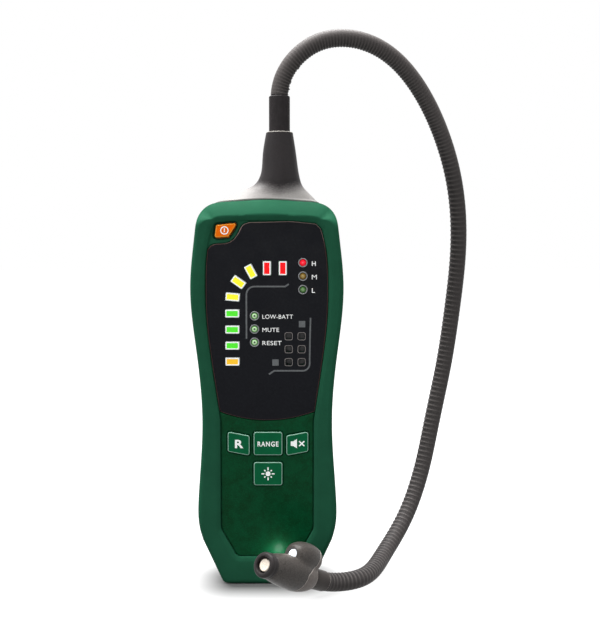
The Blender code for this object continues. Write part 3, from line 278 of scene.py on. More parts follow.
@dataclass(frozen=True)
class Moulded(Finish):
    """Moulded plastic: a fine grain in relief, a faint mottle in the colour and uneven gloss."""

    roughness: float = 0.45
    grain: float = 0.00045
    relief: float = 0.00002
    mottle: float = 0.10
    patch: float = 0.012
    specular: float = 0.5
    coat: float = 0.0

    def paint(self, tree: ShaderTree) -> None:
        """Colour patches a centimetre wide, and grain under half a millimetre.

        Args:
            tree: The material's node tree.
        """
        shade = tuple(c * (1 - self.mottle) for c in self.colour)
        light = tuple(min(255.0, c * (1 + self.mottle)) for c in self.colour)
        patches = tree.noise(self.patch, 4.0, 0.6)
        tree.set("Base Color", tree.ramp(patches, ((0.3, shade), (0.7, light))))
        gloss = tree.noise(self.grain * 4, 2.0)
        low, high = self.roughness * 0.85, min(1.0, self.roughness * 1.15)
        tree.set("Roughness", tree.span(gloss, (0.3, 0.7), (low, high)))
        tree.set("Specular IOR Level", self.specular)
        tree.set("Coat Weight", self.coat)
        tree.bump(tree.noise(self.grain, 2.0), self.relief)


@dataclass(frozen=True)
class Seamed(Moulded):
    """Moulded plastic whose colour changes along the edge of a joint. The front shell takes a dark
    joint line there and the rear shell a pale painted highlight.
    """

    edge: RGB = (180, 172, 166)

    def paint(self, tree: ShaderTree) -> None:
        """The mesh's share is 1 on the joint and fades to 0 within 0.6 mm.

        Args:
            tree: The material's node tree.
        """
        super().paint(tree)
        plain = tree.surface.inputs["Base Color"].links[0].from_socket
        near = tree.span(tree.share(), (0.15, 0.75), (0.0, 1.0))
        tree.set("Base Color", tree.mix(near, plain, linear(self.edge)))


@dataclass(frozen=True)
class PanelSkin(Finish):
    """Embossed green skin of the keypad: dark cloudy patches with a fine leather texture."""

    cloud: RGB = (0, 50, 23)

    def paint(self, tree: ShaderTree) -> None:
        """Clouds some 6 mm wide in the colour, and pebbles of 0.5 mm in relief.

        Args:
            tree: The material's node tree.
        """
        clouds = tree.noise(0.006, 5.0, 0.65)
        fine = tree.noise(0.0005, 3.0, 0.7)
        colour = tree.ramp(clouds, ((0.38, self.cloud), (0.60, self.colour)))
        light = tuple(min(255.0, c * 1.22 + 3) for c in self.colour)
        speckle = tree.span(fine, (0.48, 0.70), (0.0, 0.65))
        tree.set("Base Color", tree.mix(speckle, colour, linear(light)))
        tree.set("Roughness", tree.span(fine, (0.3, 0.7), (0.5, 0.7)))
        tree.set("Specular IOR Level", 0.04)
        tree.set("Coat Weight", 0.06)
        tree.set("Coat Roughness", 0.25)
        tree.bump(fine, 0.00004)


@dataclass(frozen=True)
class Glossy(Finish):
    """Polished plastic or print with a clear coat and faint smears in the gloss."""

    roughness: float = 0.10
    coat: float = 0.6
    specular: float = 0.5

    def paint(self, tree: ShaderTree) -> None:
        """Smears some 9 mm long in the roughness, and a light speck in the colour.

        Args:
            tree: The material's node tree.
        """
        specks = tree.noise(0.0012, 2.0)
        light = tuple(min(255.0, c * 1.08 + 2) for c in self.colour)
        tree.set("Base Color", tree.ramp(specks, ((0.45, self.colour), (0.75, light))))
        smears = tree.noise(0.009, 3.0, 0.6)
        tree.set("Roughness", tree.span(smears, (0.35, 0.75), (self.roughness, self.roughness * 2.2)))
        tree.set("Specular IOR Level", self.specular)
        tree.set("Coat Weight", self.coat)
        tree.set("Coat Roughness", 0.06)


@dataclass(frozen=True)
class BarLens(Finish):
    """Coloured diffuser of a bar light, lit softly from behind. The white print wears it too,
    which gives the print a painted glow.
    """

    glow: float = 0.30

    def paint(self, tree: ShaderTree) -> None:
        """A fine prism pattern of 0.35 mm, and light of the lens's own colour.

        Args:
            tree: The material's node tree.
        """
        prisms = tree.noise(0.00035, 1.0)
        deep = tuple(c * 0.95 for c in self.colour)
        tree.set("Base Color", tree.ramp(prisms, ((0.35, deep), (0.65, self.colour))))
        tree.set("Roughness", 0.22)
        tree.set("Specular IOR Level", 0.08)
        tree.set("Emission Color", linear(self.colour))
        tree.set("Emission Strength", self.glow)
        tree.bump(prisms, 0.00002)


@dataclass(frozen=True)
class RoundLens(Finish):
    """Domed lens of a round lamp: its colours run from the middle out to the rim, with a pale painted
    highlight of the dome among them.
    """

    stops: Stops = ()
    glow: float = 0.15

    def paint(self, tree: ShaderTree) -> None:
        """The mesh's share is the distance from the lens's axis over its radius.

        Args:
            tree: The material's node tree.
        """
        colour = tree.ramp(tree.share(), self.stops)
        tree.set("Base Color", colour)
        tree.set("Roughness", 0.16)
        tree.set("Specular IOR Level", 0.2)
        tree.set("Coat Weight", 0.1)
        tree.set("Emission Color", colour)
        tree.set("Emission Strength", self.glow)


@dataclass(frozen=True)
class Ribbed(Finish):
    """Satin sleeve of the gooseneck: paler on the narrow ridges than between them, a painted highlight
    along each ridge.
    """

    groove: RGB = (48, 46, 46)

    def paint(self, tree: ShaderTree) -> None:
        """The mesh's share is 0 between two ridges and 1 on a ridge, where the painted highlight is palest.

        Args:
            tree: The material's node tree.
        """
        scuff = tree.noise(0.0007, 4.0, 0.7)
        light = tuple(min(255.0, c * 1.2) for c in self.colour)
        ridge = tree.mix(tree.span(scuff, (0.5, 0.75), (0.0, 0.3)), linear(self.colour), linear(light))
        ridge_highlight = tree.span(tree.share(), (0.1, 0.8), (0.0, 1.0))
        tree.set("Base Color", tree.mix(ridge_highlight, linear(self.groove), ridge))
        tree.set("Roughness", tree.span(scuff, (0.3, 0.7), (0.42, 0.54)))
        tree.set("Specular IOR Level", 0.06)


@dataclass(frozen=True)
class Flared(Finish):
    """Dark moulded neck that runs out to pale grain over its flared foot. The pale foot is partly the
    grain's own colour and partly a painted highlight where the flare faces up; a thin painted
    highlight runs round the top rim.
    """

    foot: RGB = (146, 143, 141)
    start: float = 0.1890
    end: float = 0.1980
    middle_x: float = 0.0058
    highlight_slant: float = 0.26
    rim: float = 0.2216

    def paint(self, tree: ShaderTree) -> None:
        """The height less a quarter of the distance from the middle picks the colour, so that the painted
        highlight reaches higher towards the sides, following the upward-facing part of the flare.

        Args:
            tree: The material's node tree.
        """
        grain = tree.noise(0.0004, 3.0, 0.7)
        aside = tree.sums("ABSOLUTE", tree.sums("SUBTRACT", tree.height(0), self.middle_x))
        level = tree.sums("SUBTRACT", tree.height(), tree.sums("MULTIPLY", aside, self.highlight_slant))
        rise = tree.span(level, (self.start, self.end), (0.0, 1.0))
        broken = tree.sums("ADD", rise, tree.span(grain, (0.3, 0.7), (-0.22, 0.22)))
        middle = tuple((a * 0.55 + b * 0.45) for a, b in zip(self.foot, self.colour))
        dark = tuple(c * 0.86 for c in self.colour)
        stops = ((0.0, self.foot), (0.38, middle), (0.68, self.colour), (0.84, dark), (1.0, self.colour))
        # A thin painted highlight along the top rim.
        edge = tree.span(tree.height(), (self.rim, self.rim + 0.0003), (0.0, 1.0))
        tree.set("Base Color", tree.mix(edge, tree.ramp(broken, stops), linear((150, 146, 140))))
        tree.set("Roughness", tree.span(grain, (0.3, 0.7), (0.34, 0.5)))
        tree.set("Specular IOR Level", 0.08)
        tree.bump(grain, 0.00003)


@dataclass(frozen=True)
class Metal(Finish):
    """Plated or turned metal with fine scratches along one direction."""

    roughness: float = 0.28

    def paint(self, tree: ShaderTree) -> None:
        """Scratches are noise stretched forty times along X.

        Args:
            tree: The material's node tree.
        """
        scratches = tree.noise(0.0004, 3.0, 0.6, tree.stretched((0.05, 1.0, 1.0)))
        dull = tuple(c * 0.86 for c in self.colour)
        tree.set("Base Color", tree.ramp(scratches, ((0.35, dull), (0.65, self.colour))))
        tree.set("Metallic", 1.0)
        tree.set("Roughness", tree.span(scratches, (0.3, 0.7), (self.roughness, self.roughness * 1.6)))
        tree.bump(scratches, 0.00001)


@dataclass(frozen=True)
class EdgeHighlight(Finish):
    """Painted highlight on the window's bevelled edge: palest along its top, where the light falls,
    and fading to a dull brown at its foot.
    """

    side: RGB = (92, 64, 60)
    foot: RGB = (58, 40, 44)

    def paint(self, tree: ShaderTree) -> None:
        """The height above the base picks the colour, so that the painted highlight is palest along the top.

        Args:
            tree: The material's node tree.
        """
        rise = tree.span(tree.height(), (0.080, 0.178), (0.0, 1.0))
        stops = ((0.0, self.foot), (0.12, self.side), (0.86, self.side), (0.96, self.colour))
        tree.set("Base Color", tree.ramp(rise, stops))
        tree.set("Roughness", 0.4)
        tree.set("Specular IOR Level", 0.1)


class LensStopsWithHighlight(Enum):
    """Colours of the round lenses, from the middle out to the rim; the palest stop of each is a painted
    highlight of the dome.
    """

    HIGH = ((0.0, (255, 120, 130)), (0.22, (255, 40, 66)), (0.45, (255, 6, 40)), (0.9, (240, 2, 34)),
            (1.0, (150, 0, 20)))
    MEDIUM = ((0.0, (92, 70, 24)), (0.25, (190, 166, 100)), (0.45, (146, 116, 44)), (0.85, (120, 90, 30)),
              (1.0, (60, 44, 16)))
    LOW = ((0.0, (40, 74, 36)), (0.25, (140, 176, 120)), (0.45, (76, 124, 60)), (0.85, (56, 98, 46)),
           (1.0, (26, 50, 24)))
    STATE = ((0.0, (30, 70, 36)), (0.24, (56, 104, 54)), (0.40, (226, 250, 216)), (0.56, (190, 236, 172)),
             (0.76, (112, 178, 94)), (0.92, (76, 128, 66)), (1.0, (40, 76, 38)))


class Looks(Enum):
    """Every finish on the instrument, by the piece that wears it."""

    CASE = Moulded("case_green", (35, 87, 64), 0.50, relief=0.000016, mottle=0.04, specular=0.01)
    PANEL = PanelSkin("keypad_green", (0, 64, 35))
    KEY = Moulded("key_green", (12, 97, 60), 0.50, grain=0.0003, mottle=0.04, patch=0.004, specular=0.04)
    # Green key edges: a printed outline and a painted highlight on the rounding.
    KEY_EDGE_PRINT_AND_HIGHLIGHT = Moulded("key_edge_print_and_highlight_green", (150, 190, 172), 0.45, grain=0.0003, mottle=0.05, specular=0.1)
    POWER = Moulded("power_orange", (255, 116, 0), 0.45, grain=0.0003, mottle=0.02, patch=0.005,
                    specular=0.05)
    # Power key edge: a painted highlight on the rounding.
    POWER_EDGE_HIGHLIGHT = Moulded("power_edge_highlight", (255, 172, 60), 0.40, grain=0.0003, mottle=0.02, specular=0.15)
    WINDOW = Glossy("window_black", (26, 27, 31), 0.22, coat=0.0, specular=0.03)
    # The window's pale edge is a painted highlight of its bevel, palest at the top.
    WINDOW_EDGE_HIGHLIGHT = EdgeHighlight("window_edge_highlight", (150, 130, 125))
    # White print with a glow of its own: painted light, since the print is no lamp.
    PRINT_WHITE_GLOWING = BarLens("print_white_glowing", (250, 252, 251), 0.22)
    PRINT_GREY = Glossy("print_grey", (106, 109, 111), 0.45, coat=0.0, specular=0.1)
    # Sound hole rims: a painted highlight of the holes' bevelled edges.
    SOUND_RIM_HIGHLIGHT = Glossy("sound_rim_highlight", (124, 119, 117), 0.35, coat=0.0, specular=0.2)
    # Lamp rings: their pale grey is a painted highlight of the holes' bevelled edges.
    BEZEL_HIGHLIGHT = Glossy("lamp_bezel_highlight", (136, 138, 140), 0.25, coat=0.3, specular=0.3)
    BAR_FRAME = BarLens("bar_frame", (252, 254, 254), 0.26)
    AMBER = BarLens("bar_amber", (255, 200, 52))
    GREEN = BarLens("bar_green", (88, 240, 54))
    YELLOW = BarLens("bar_yellow", (255, 246, 52), 0.38)
    RED = BarLens("bar_red", (255, 12, 20))
    HIGH = RoundLens("lamp_high", (255, 4, 36), LensStopsWithHighlight.HIGH.value, 0.30)
    MEDIUM = RoundLens("lamp_medium", (130, 100, 34), LensStopsWithHighlight.MEDIUM.value, 0.05)
    LOW = RoundLens("lamp_low", (66, 112, 52), LensStopsWithHighlight.LOW.value, 0.05)
    STATE = RoundLens("lamp_state", (120, 184, 104), LensStopsWithHighlight.STATE.value, 0.12)
    # Neck: the pale foot is partly grain and partly a painted highlight, and a painted highlight runs round
    # the rim.
    NECK = Flared("neck_grey", (50, 47, 48))
    COLLAR = Moulded("collar_black", (48, 45, 46), 0.50, mottle=0.08, patch=0.002, specular=0.06)
    # Gooseneck: the paler ridges are a painted highlight.
    TUBE = Ribbed("gooseneck_sleeve", (85, 81, 80))
    HEAD = Seamed("head_grey", (62, 58, 55), 0.38, grain=0.0003, relief=0.00003, mottle=0.22, patch=0.0007,
                  specular=0.20, edge=(30, 28, 27))
    # Rear shell band: its own paler grey, with a painted highlight along its seam and rear edges.
    HEAD_REAR = Seamed("head_band_grey", (112, 105, 101), 0.45, grain=0.0003, mottle=0.10, patch=0.0012,
                       specular=0.10, edge=(196, 188, 181))
    # Ferrule end: a painted highlight on the rounding.
    HEAD_EDGE_HIGHLIGHT = Moulded("head_edge_highlight_grey", (176, 169, 163), 0.45, grain=0.0003, mottle=0.08, specular=0.10)
    CAP = Moulded("cap_black", (46, 43, 43), 0.40, grain=0.0003, specular=0.10)
    FERRULE = Moulded("ferrule_black", (64, 59, 57), 0.42, grain=0.0003, specular=0.08)
    SENSOR = Moulded("sensor_beige", (226, 214, 198), 0.7, grain=0.00018, relief=0.00006, mottle=0.12,
                     patch=0.0006)
    WHITE_LED = BarLens("led_white", (244, 250, 255), 1.0)
    BOARD = Moulded("board_green", (22, 92, 50), 0.45, grain=0.0012, mottle=0.2, patch=0.003)
    PART = Moulded("inner_black", (34, 34, 36), 0.5, grain=0.0004)
    STEEL = Metal("plated_steel", (206, 206, 208))
    SCREW = Metal("screw_steel", (186, 188, 192), 0.24)
    CELL_SKIN = Glossy("cell_wrap", (34, 40, 52), 0.22, coat=0.4)
    CELL_BAND = Glossy("cell_band", (176, 140, 66), 0.25, coat=0.4)

    def material(self) -> bpy.types.Material:
        """The finish's material."""
        return self.value.material()


def natural_spline(points: np.ndarray, per_span: int) -> np.ndarray:
    """Points on the natural cubic through given points, spaced by chord length.

    The bend at each point comes from the usual three-term system. Each span is the straight
    line plus the squared length over six times the bends, weighted by (t^3 - t) from each end.

    Args:
        points: The given points, one a row.
        per_span: Number of steps from one given point to the next.

    Returns:
        The points of the curve, one a row.
    """
    knots = np.asarray(points, dtype=float)
    lengths = np.linalg.norm(np.diff(knots, axis=0), axis=1)
    count = len(knots)
    system = np.eye(count)
    inner = np.arange(1, count - 1)
    system[inner, inner - 1] = lengths[:-1]
    system[inner, inner] = 2 * (lengths[:-1] + lengths[1:])
    system[inner, inner + 1] = lengths[1:]
    right = np.zeros_like(knots)
    right[1:-1] = 6 * np.diff(np.diff(knots, axis=0) / lengths[:, None], axis=0)
    bend = np.linalg.solve(system, right)
    t = np.arange(per_span)[None, :, None] / per_span
    back = 1 - t
    near = (back ** 3 - back) * bend[:-1, None]
    far = (t ** 3 - t) * bend[1:, None]
    line = back * knots[:-1, None] + t * knots[1:, None]
    curve = line + lengths[:, None, None] ** 2 / 6 * (near + far)
    return np.concatenate([curve.reshape(-1, knots.shape[1]), knots[-1:]])


def corner_arc(before: Pair, corner: Pair, after: Pair, radius: float, steps: int) -> np.ndarray:
    """The arc that rounds a corner between its two neighbours.

    The arc's middle lies on the corner's bisector, a radius over the sine of the half angle away.

    Args:
        before: The point before the corner.
        corner: The corner.
        after: The point after it.
        radius: The arc's radius.
        steps: Number of steps along the arc.

    Returns:
        The arc's points.
    """
    corner = np.asarray(corner, dtype=float)
    back = np.asarray(before) - corner
    back = back / np.linalg.norm(back)
    ahead = np.asarray(after) - corner
    ahead = ahead / np.linalg.norm(ahead)
    half = math.acos(float(np.clip(back @ ahead, -1, 1))) / 2
    bisector = (back + ahead) / np.linalg.norm(back + ahead)
    middle = corner + bisector * radius / math.sin(half)
    start = corner + back * radius / math.tan(half) - middle
    end = corner + ahead * radius / math.tan(half) - middle
    t = np.linspace(0, 1, steps + 1)[:, None]
    between = (1 - t) * start + t * end
    return middle + between / np.linalg.norm(between, axis=1)[:, None] * radius


def rounded(corners: np.ndarray, radius: float, steps: int = 6) -> np.ndarray:
    """A closed outline with an arc of one radius at each corner.

    Args:
        corners: The corners in order.
        radius: Radius of each arc.
        steps: Steps along each arc.

    Returns:
        The outline's points.
    """
    count = len(corners)
    arcs = [
        corner_arc(corners[i - 1], corners[i], corners[(i + 1) % count], radius, steps)
        for i in range(count)
    ]
    return np.concatenate(arcs)


def rectangle(centre: Pair, size: Pair, radius: float = 0.0, angle: float = 0.0) -> np.ndarray:
    """A rectangle with round corners.

    Args:
        centre: Its middle.
        size: Its width and height.
        radius: Radius of its corners.
        angle: Its turn in degrees.

    Returns:
        The outline, counterclockwise.
    """
    w, h = size[0] / 2, size[1] / 2
    corners = np.array([(-w, -h), (w, -h), (w, h), (-w, h)])
    outline = rounded(corners, radius) if radius else corners
    c, s = math.cos(math.radians(angle)), math.sin(math.radians(angle))
    return outline @ np.array([[c, s], [-s, c]]) + np.array(centre)


def full_turn(sides: int) -> np.ndarray:
    """The angles of equal steps round a full circle."""
    return np.arange(sides) * 2 * math.pi / sides


def circle(centre: Pair, radius: float, sides: int) -> np.ndarray:
    """A circle's points, counterclockwise from its right."""
    angles = full_turn(sides)
    return np.stack([np.cos(angles), np.sin(angles)], axis=1) * radius + np.array(centre)


def inset(outline: np.ndarray, distance: float | np.ndarray) -> np.ndarray:
    """An outline moved inwards along the bisector of its two edges at each point.

    Args:
        outline: The points, counterclockwise.
        distance: How far, one number or one for each point. Outwards is negative.

    Returns:
        The moved points.
    """
    outline = np.asarray(outline, dtype=float)
    ahead = np.roll(outline, -1, axis=0) - outline
    ahead /= np.linalg.norm(ahead, axis=1)[:, None]
    after = np.stack([-ahead[:, 1], ahead[:, 0]], axis=1)
    before = np.roll(after, 1, axis=0)
    both = (before + after) / (1 + np.sum(before * after, axis=1))[:, None]
    return outline + both * np.broadcast_to(distance, len(outline))[:, None]


def ribbon(path: np.ndarray, width: float) -> np.ndarray:
    """The outline of a strip of even width along an open path.

    Each side is the path moved by half the width along the normal of the mean direction there.

    Args:
        path: The points along the middle.
        width: The strip's width.

    Returns:
        The closed outline.
    """
    path = np.asarray(path, dtype=float)
    along = np.gradient(path, axis=0)
    along /= np.linalg.norm(along, axis=1)[:, None]
    normal = np.stack([-along[:, 1], along[:, 0]], axis=1) * width / 2
    return np.concatenate([path - normal, (path + normal)[::-1]])


def at_depth(outline: np.ndarray, y: float | np.ndarray) -> np.ndarray:
    """Turns an outline of X and Z into points at a depth."""
    return np.stack([outline[:, 0], np.broadcast_to(y, len(outline)), outline[:, 1]], axis=1)


def quarter_round(radius: float, steps: int) -> list[Pair]:
    """Insets and drops over a rounded edge, from the flat face to the side."""
    angles = np.linspace(0, math.pi / 2, steps + 1)
    return [(radius * (1 - math.sin(a)), radius * (1 - math.cos(a))) for a in angles]


@dataclass
class Loop:
    """One closed edge of a plate, with its inset at each level from the front to the back."""

    outline: np.ndarray
    insets: tuple[float, ...]
    wall_finish: int = 0


class Solid:
    """Collects the points and faces of one closed piece before it becomes a mesh."""

    def __init__(self) -> None:
        """Starts empty."""
        self.points: list[np.ndarray] = []
        self.shares: list[np.ndarray] = []
        self.faces: list[np.ndarray] = []
        self.finishes: list[np.ndarray] = []
        self.count = 0

    def add_points(self, points: np.ndarray, share: float | np.ndarray = 0.0) -> np.ndarray:
        """Adds points.

        Args:
            points: The points, with the three coordinates on the last axis.
            share: A number that the finish reads, one for all or one for each point.

        Returns:
            The points' numbers, in the same arrangement.
        """
        flat = np.asarray(points, dtype=float).reshape(-1, 3)
        numbers = self.count + np.arange(len(flat))
        self.points.append(flat)
        self.shares.append(np.broadcast_to(share, points.shape[:-1]).reshape(-1).astype(np.float32))
        self.count += len(flat)
        return numbers.reshape(points.shape[:-1])

    def add_faces(self, faces: np.ndarray, finish: int | np.ndarray = 0) -> None:
        """Adds faces with the same number of corners, and the finish that they wear."""
        self.faces.append(np.asarray(faces))
        self.finishes.append(np.broadcast_to(finish, len(faces)))

    def add_bands(self, rows: np.ndarray, finish: int = 0) -> None:
        """Joins closed rows of points by bands of four-sided faces.

        Args:
            rows: Point numbers, one row after another.
            finish: The finish that the bands wear.
        """
        low, high = rows[:-1], rows[1:]
        next_low, next_high = np.roll(low, -1, axis=1), np.roll(high, -1, axis=1)
        self.add_faces(np.stack([low, next_low, next_high, high], axis=-1).reshape(-1, 4), finish)

    def add_grid(self, grid: np.ndarray, share: float | np.ndarray = 0.0, caps: bool = True) -> None:
        """Adds a body through closed rows of points.

        Args:
            grid: Rows of points, each row closed on itself.
            share: The number that the finish reads.
            caps: Whether its first and last row are closed by a face each.
        """
        rows = self.add_points(grid, share)
        self.add_bands(rows)
        if caps:
            self.add_faces(rows[:1])
            self.add_faces(rows[-1:, ::-1])

    def add_steps(self, outline: np.ndarray, levels: list[Pair]) -> None:
        """Adds a body through one outline, set in and placed in depth as each level says."""
        self.add_grid(np.stack([at_depth(inset(outline, d), y) for d, y in levels]))

    def add_prism(self, outline: np.ndarray, front: float, back: float) -> None:
        """Adds an outline of X and Z carried straight back along Y."""
        self.add_grid(np.stack([at_depth(outline, front), at_depth(outline, back)]))

    def add_stack(self, rings: list[np.ndarray], split: int, finishes: tuple[int, int, int]) -> None:
        """Adds a closed body through rings of points, in one finish up to a ring and another past it.

        Args:
            rings: Its rings, from the front to the back.
            split: How many rings the first bands join.
            finishes: The finish of its front face, of the first bands and of all the rest.
        """
        rows = self.add_points(np.stack(rings))
        self.add_faces(rows[:1], finishes[0])
        self.add_bands(rows[:split], finishes[1])
        self.add_bands(rows[split - 1:], finishes[2])
        self.add_faces(rows[-1:, ::-1], finishes[2])

    def add_turned(
        self, profile: list[Pair], sides: int, share: np.ndarray | float = 0.0, finish: int = 0
    ) -> None:
        """Adds a body turned about Z.

        Args:
            profile: Radius and height at each row. It closes on itself or ends at the axis.
            sides: Points round a turn.
            share: The number that the finish reads, one for all or one for each row.
            finish: The finish that it wears.
        """
        shape = np.array(profile, dtype=float)
        angles = full_turn(sides)
        x = shape[:, :1] * np.cos(angles)
        y = shape[:, :1] * np.sin(angles)
        z = np.broadcast_to(shape[:, 1:], x.shape)
        spread = np.broadcast_to(np.reshape(share, (-1, 1)), x.shape)
        rows = self.add_points(np.stack([x, y, z], axis=-1), spread)
        self.add_bands(rows, finish)

    def add_plate(self, loops: list[Loop], depths: tuple[float, ...]) -> None:
        """Adds a plate with holes: bands run down each edge, and the front and back are filled.

        Args:
            loops: The outer edge first and then the holes, all counterclockwise.
            depths: The depth of each level, from the front to the back.
        """
        edges = []
        for place, loop in enumerate(loops):
            sign = 1 if place == 0 else -1
            rings = [at_depth(inset(loop.outline, sign * d), y) for d, y in zip(loop.insets, depths)]
            rows = self.add_points(np.stack(rings))
            self.add_bands(rows, loop.wall_finish)
            edges.append((rings, rows))
        for level in (0, -1):
            flat = np.concatenate([rings[level][:, (0, 2)] for rings, _ in edges])
            numbers = np.concatenate([rows[level] for _, rows in edges])
            self.fill(flat, numbers, [len(rings[0]) for rings, _ in edges])

    def fill(self, flat: np.ndarray, numbers: np.ndarray, sizes: list[int]) -> None:
        """Fills the area between an outer loop and its holes with triangles.

        Args:
            flat: The loops' points in their plane, one loop after another.
            numbers: The number of each of those points.
            sizes: How many points each loop has.
        """
        starts = np.cumsum([0] + sizes[:-1])
        rings = [list(range(int(s), int(s + n))) for s, n in zip(starts, sizes)]
        rings[1:] = [ring[::-1] for ring in rings[1:]]
        corners = [Vector(p) for p in flat.tolist()]
        out = delaunay_2d_cdt(corners, [], rings, 2, 1e-9)
        sources = np.array([origin[0] for origin in out[3]])
        self.add_faces(numbers[sources[np.array(out[2])]])

    def build(self, name: str, *looks: Looks, sharp: float = 30.0) -> bpy.types.Object:
        """Makes the mesh and its object.

        Args:
            name: The piece's name.
            looks: Its finishes, in the order of the faces' numbers.
            sharp: Edges past this angle in degrees stay sharp.

        Returns:
            The object, at the origin.
        """
        mesh = bpy.data.meshes.new(name)
        faces = [face for block in self.faces for face in block.tolist()]
        mesh.from_pydata(np.concatenate(self.points).tolist(), [], faces)
        mesh.attributes.new("share", "FLOAT", "POINT").data.foreach_set("value", np.concatenate(self.shares))
        mesh.polygons.foreach_set("material_index", np.concatenate(self.finishes).astype(np.int32))
        shape = bmesh.new()
        shape.from_mesh(mesh)
        bmesh.ops.remove_doubles(shape, verts=shape.verts, dist=1e-7)
        bmesh.ops.recalc_face_normals(shape, faces=shape.faces)
        shape.to_mesh(mesh)
        shape.free()
        return place_mesh(name, mesh, looks, sharp)


def linked(name: str, data: bpy.types.ID) -> bpy.types.Object:
    """A new object of this mesh, text, lamp or camera, put into the scene.

    Args:
        name: The object's name.
        data: What the object shows.

    Returns:
        The object, at the origin.
    """
    obj = bpy.data.objects.new(name, data)
    bpy.context.scene.collection.objects.link(obj)
    return obj


def finished_mesh(obj: bpy.types.Object) -> bpy.types.Mesh:
    """A new mesh with the object's modifiers, or its writing, carried out."""
    graph = bpy.context.evaluated_depsgraph_get()
    return bpy.data.meshes.new_from_object(obj.evaluated_get(graph))


def points_of(mesh: bpy.types.Mesh) -> np.ndarray:
    """The mesh's points as an array.

    Args:
        mesh: The mesh.

    Returns:
        One row of X, Y and Z for each point.
    """
    flat = np.zeros(len(mesh.vertices) * 3)
    mesh.vertices.foreach_get("co", flat)
    return flat.reshape(-1, 3)


def place_mesh(name: str, mesh: bpy.types.Mesh, looks: tuple[Looks, ...], sharp: float) -> bpy.types.Object:
    """Puts a mesh into an object with its finishes and even shading.

    Args:
        name: The piece's name.
        mesh: Its mesh.
        looks: Its finishes.
        sharp: Edges past this angle in degrees stay sharp.

    Returns:
        The object.
    """
    if mesh.materials:
        mesh.materials.clear()
    for look in looks:
        mesh.materials.append(look.material())
    mesh.shade_smooth()
    mesh.set_sharp_from_angle(angle=math.radians(sharp))
    obj = linked(name, mesh)
    obj.modifiers.new("even_shading", "WEIGHTED_NORMAL").keep_sharp = True
    return obj


def carve(
    name: str, base: Solid, steps: list[tuple[str, Solid]], *looks: Looks, sharp: float = 30.0
) -> bpy.types.Object:
    """Joins solids to a base and cuts others from it, in the order given.

    Args:
        name: The piece's name.
        base: The solid that it starts from.
        steps: UNION or DIFFERENCE, each with its solid.
        looks: The piece's finishes.
        sharp: Edges past this angle in degrees stay sharp.

    Returns:
        The object, with the steps made part of its mesh.
    """
    raw = base.build(name + "_raw", looks[0])
    raw.modifiers.clear()
    helpers = []
    for number, (operation, solid) in enumerate(steps):
        helper = solid.build(f"{name}_{number}", looks[0])
        change = raw.modifiers.new(helper.name, "BOOLEAN")
        change.operation = operation
        change.solver = "EXACT"
        change.object = helper
        helpers.append(helper)
    mesh = finished_mesh(raw)
    mesh.name = name
    for helper in [raw, *helpers]:
        bpy.data.objects.remove(helper)
    return place_mesh(name, mesh, looks, sharp)


def move_mesh(obj: bpy.types.Object, matrix: Matrix) -> bpy.types.Object:
    """Moves a piece by moving its mesh, so that its object stays at the origin."""
    obj.data.transform(matrix)
    return obj


def turn_to(direction: Vector, location: Vector) -> Matrix:
    """A matrix that turns +Z to a direction and moves to a place."""
    return Matrix.Translation(location) @ direction.to_track_quat("Z", "Y").to_matrix().to_4x4()


def prism(outline: np.ndarray, front: float, back: float) -> Solid:
    """An outline of X and Z carried straight back along Y.

    Args:
        outline: The outline's points.
        front: Depth of its front.
        back: Depth of its back.

    Returns:
        The solid.
    """
    solid = Solid()
    solid.add_prism(outline, front, back)
    return solid


def posts(centres: list[Pair], radius: float, front: float, back: float, sides: int = 28) -> Solid:
    """Round posts along Y, all in one solid.

    Args:
        centres: X and Z of their middles.
        radius: Their radius.
        front: Depth of their front.
        back: Depth of their back.
        sides: Steps round each.

    Returns:
        The solid.
    """
    solid = Solid()
    for centre in centres:
        solid.add_prism(circle(centre, radius, sides), front, back)
    return solid


def settle(obj: bpy.types.Object, body: str, slot: str, *nodes: str) -> None:
    """Hands a finished piece to the frame and reports it.

    Args:
        obj: The piece.
        body: The CAD body that it rides on.
        slot: Not used.
        nodes: The CAD nodes that it stands for.
    """
    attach(obj, body)
    if nodes:
        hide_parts(*nodes)
    LOG.info("%s: %d faces, rides on %s", obj.name, len(obj.data.polygons), body)


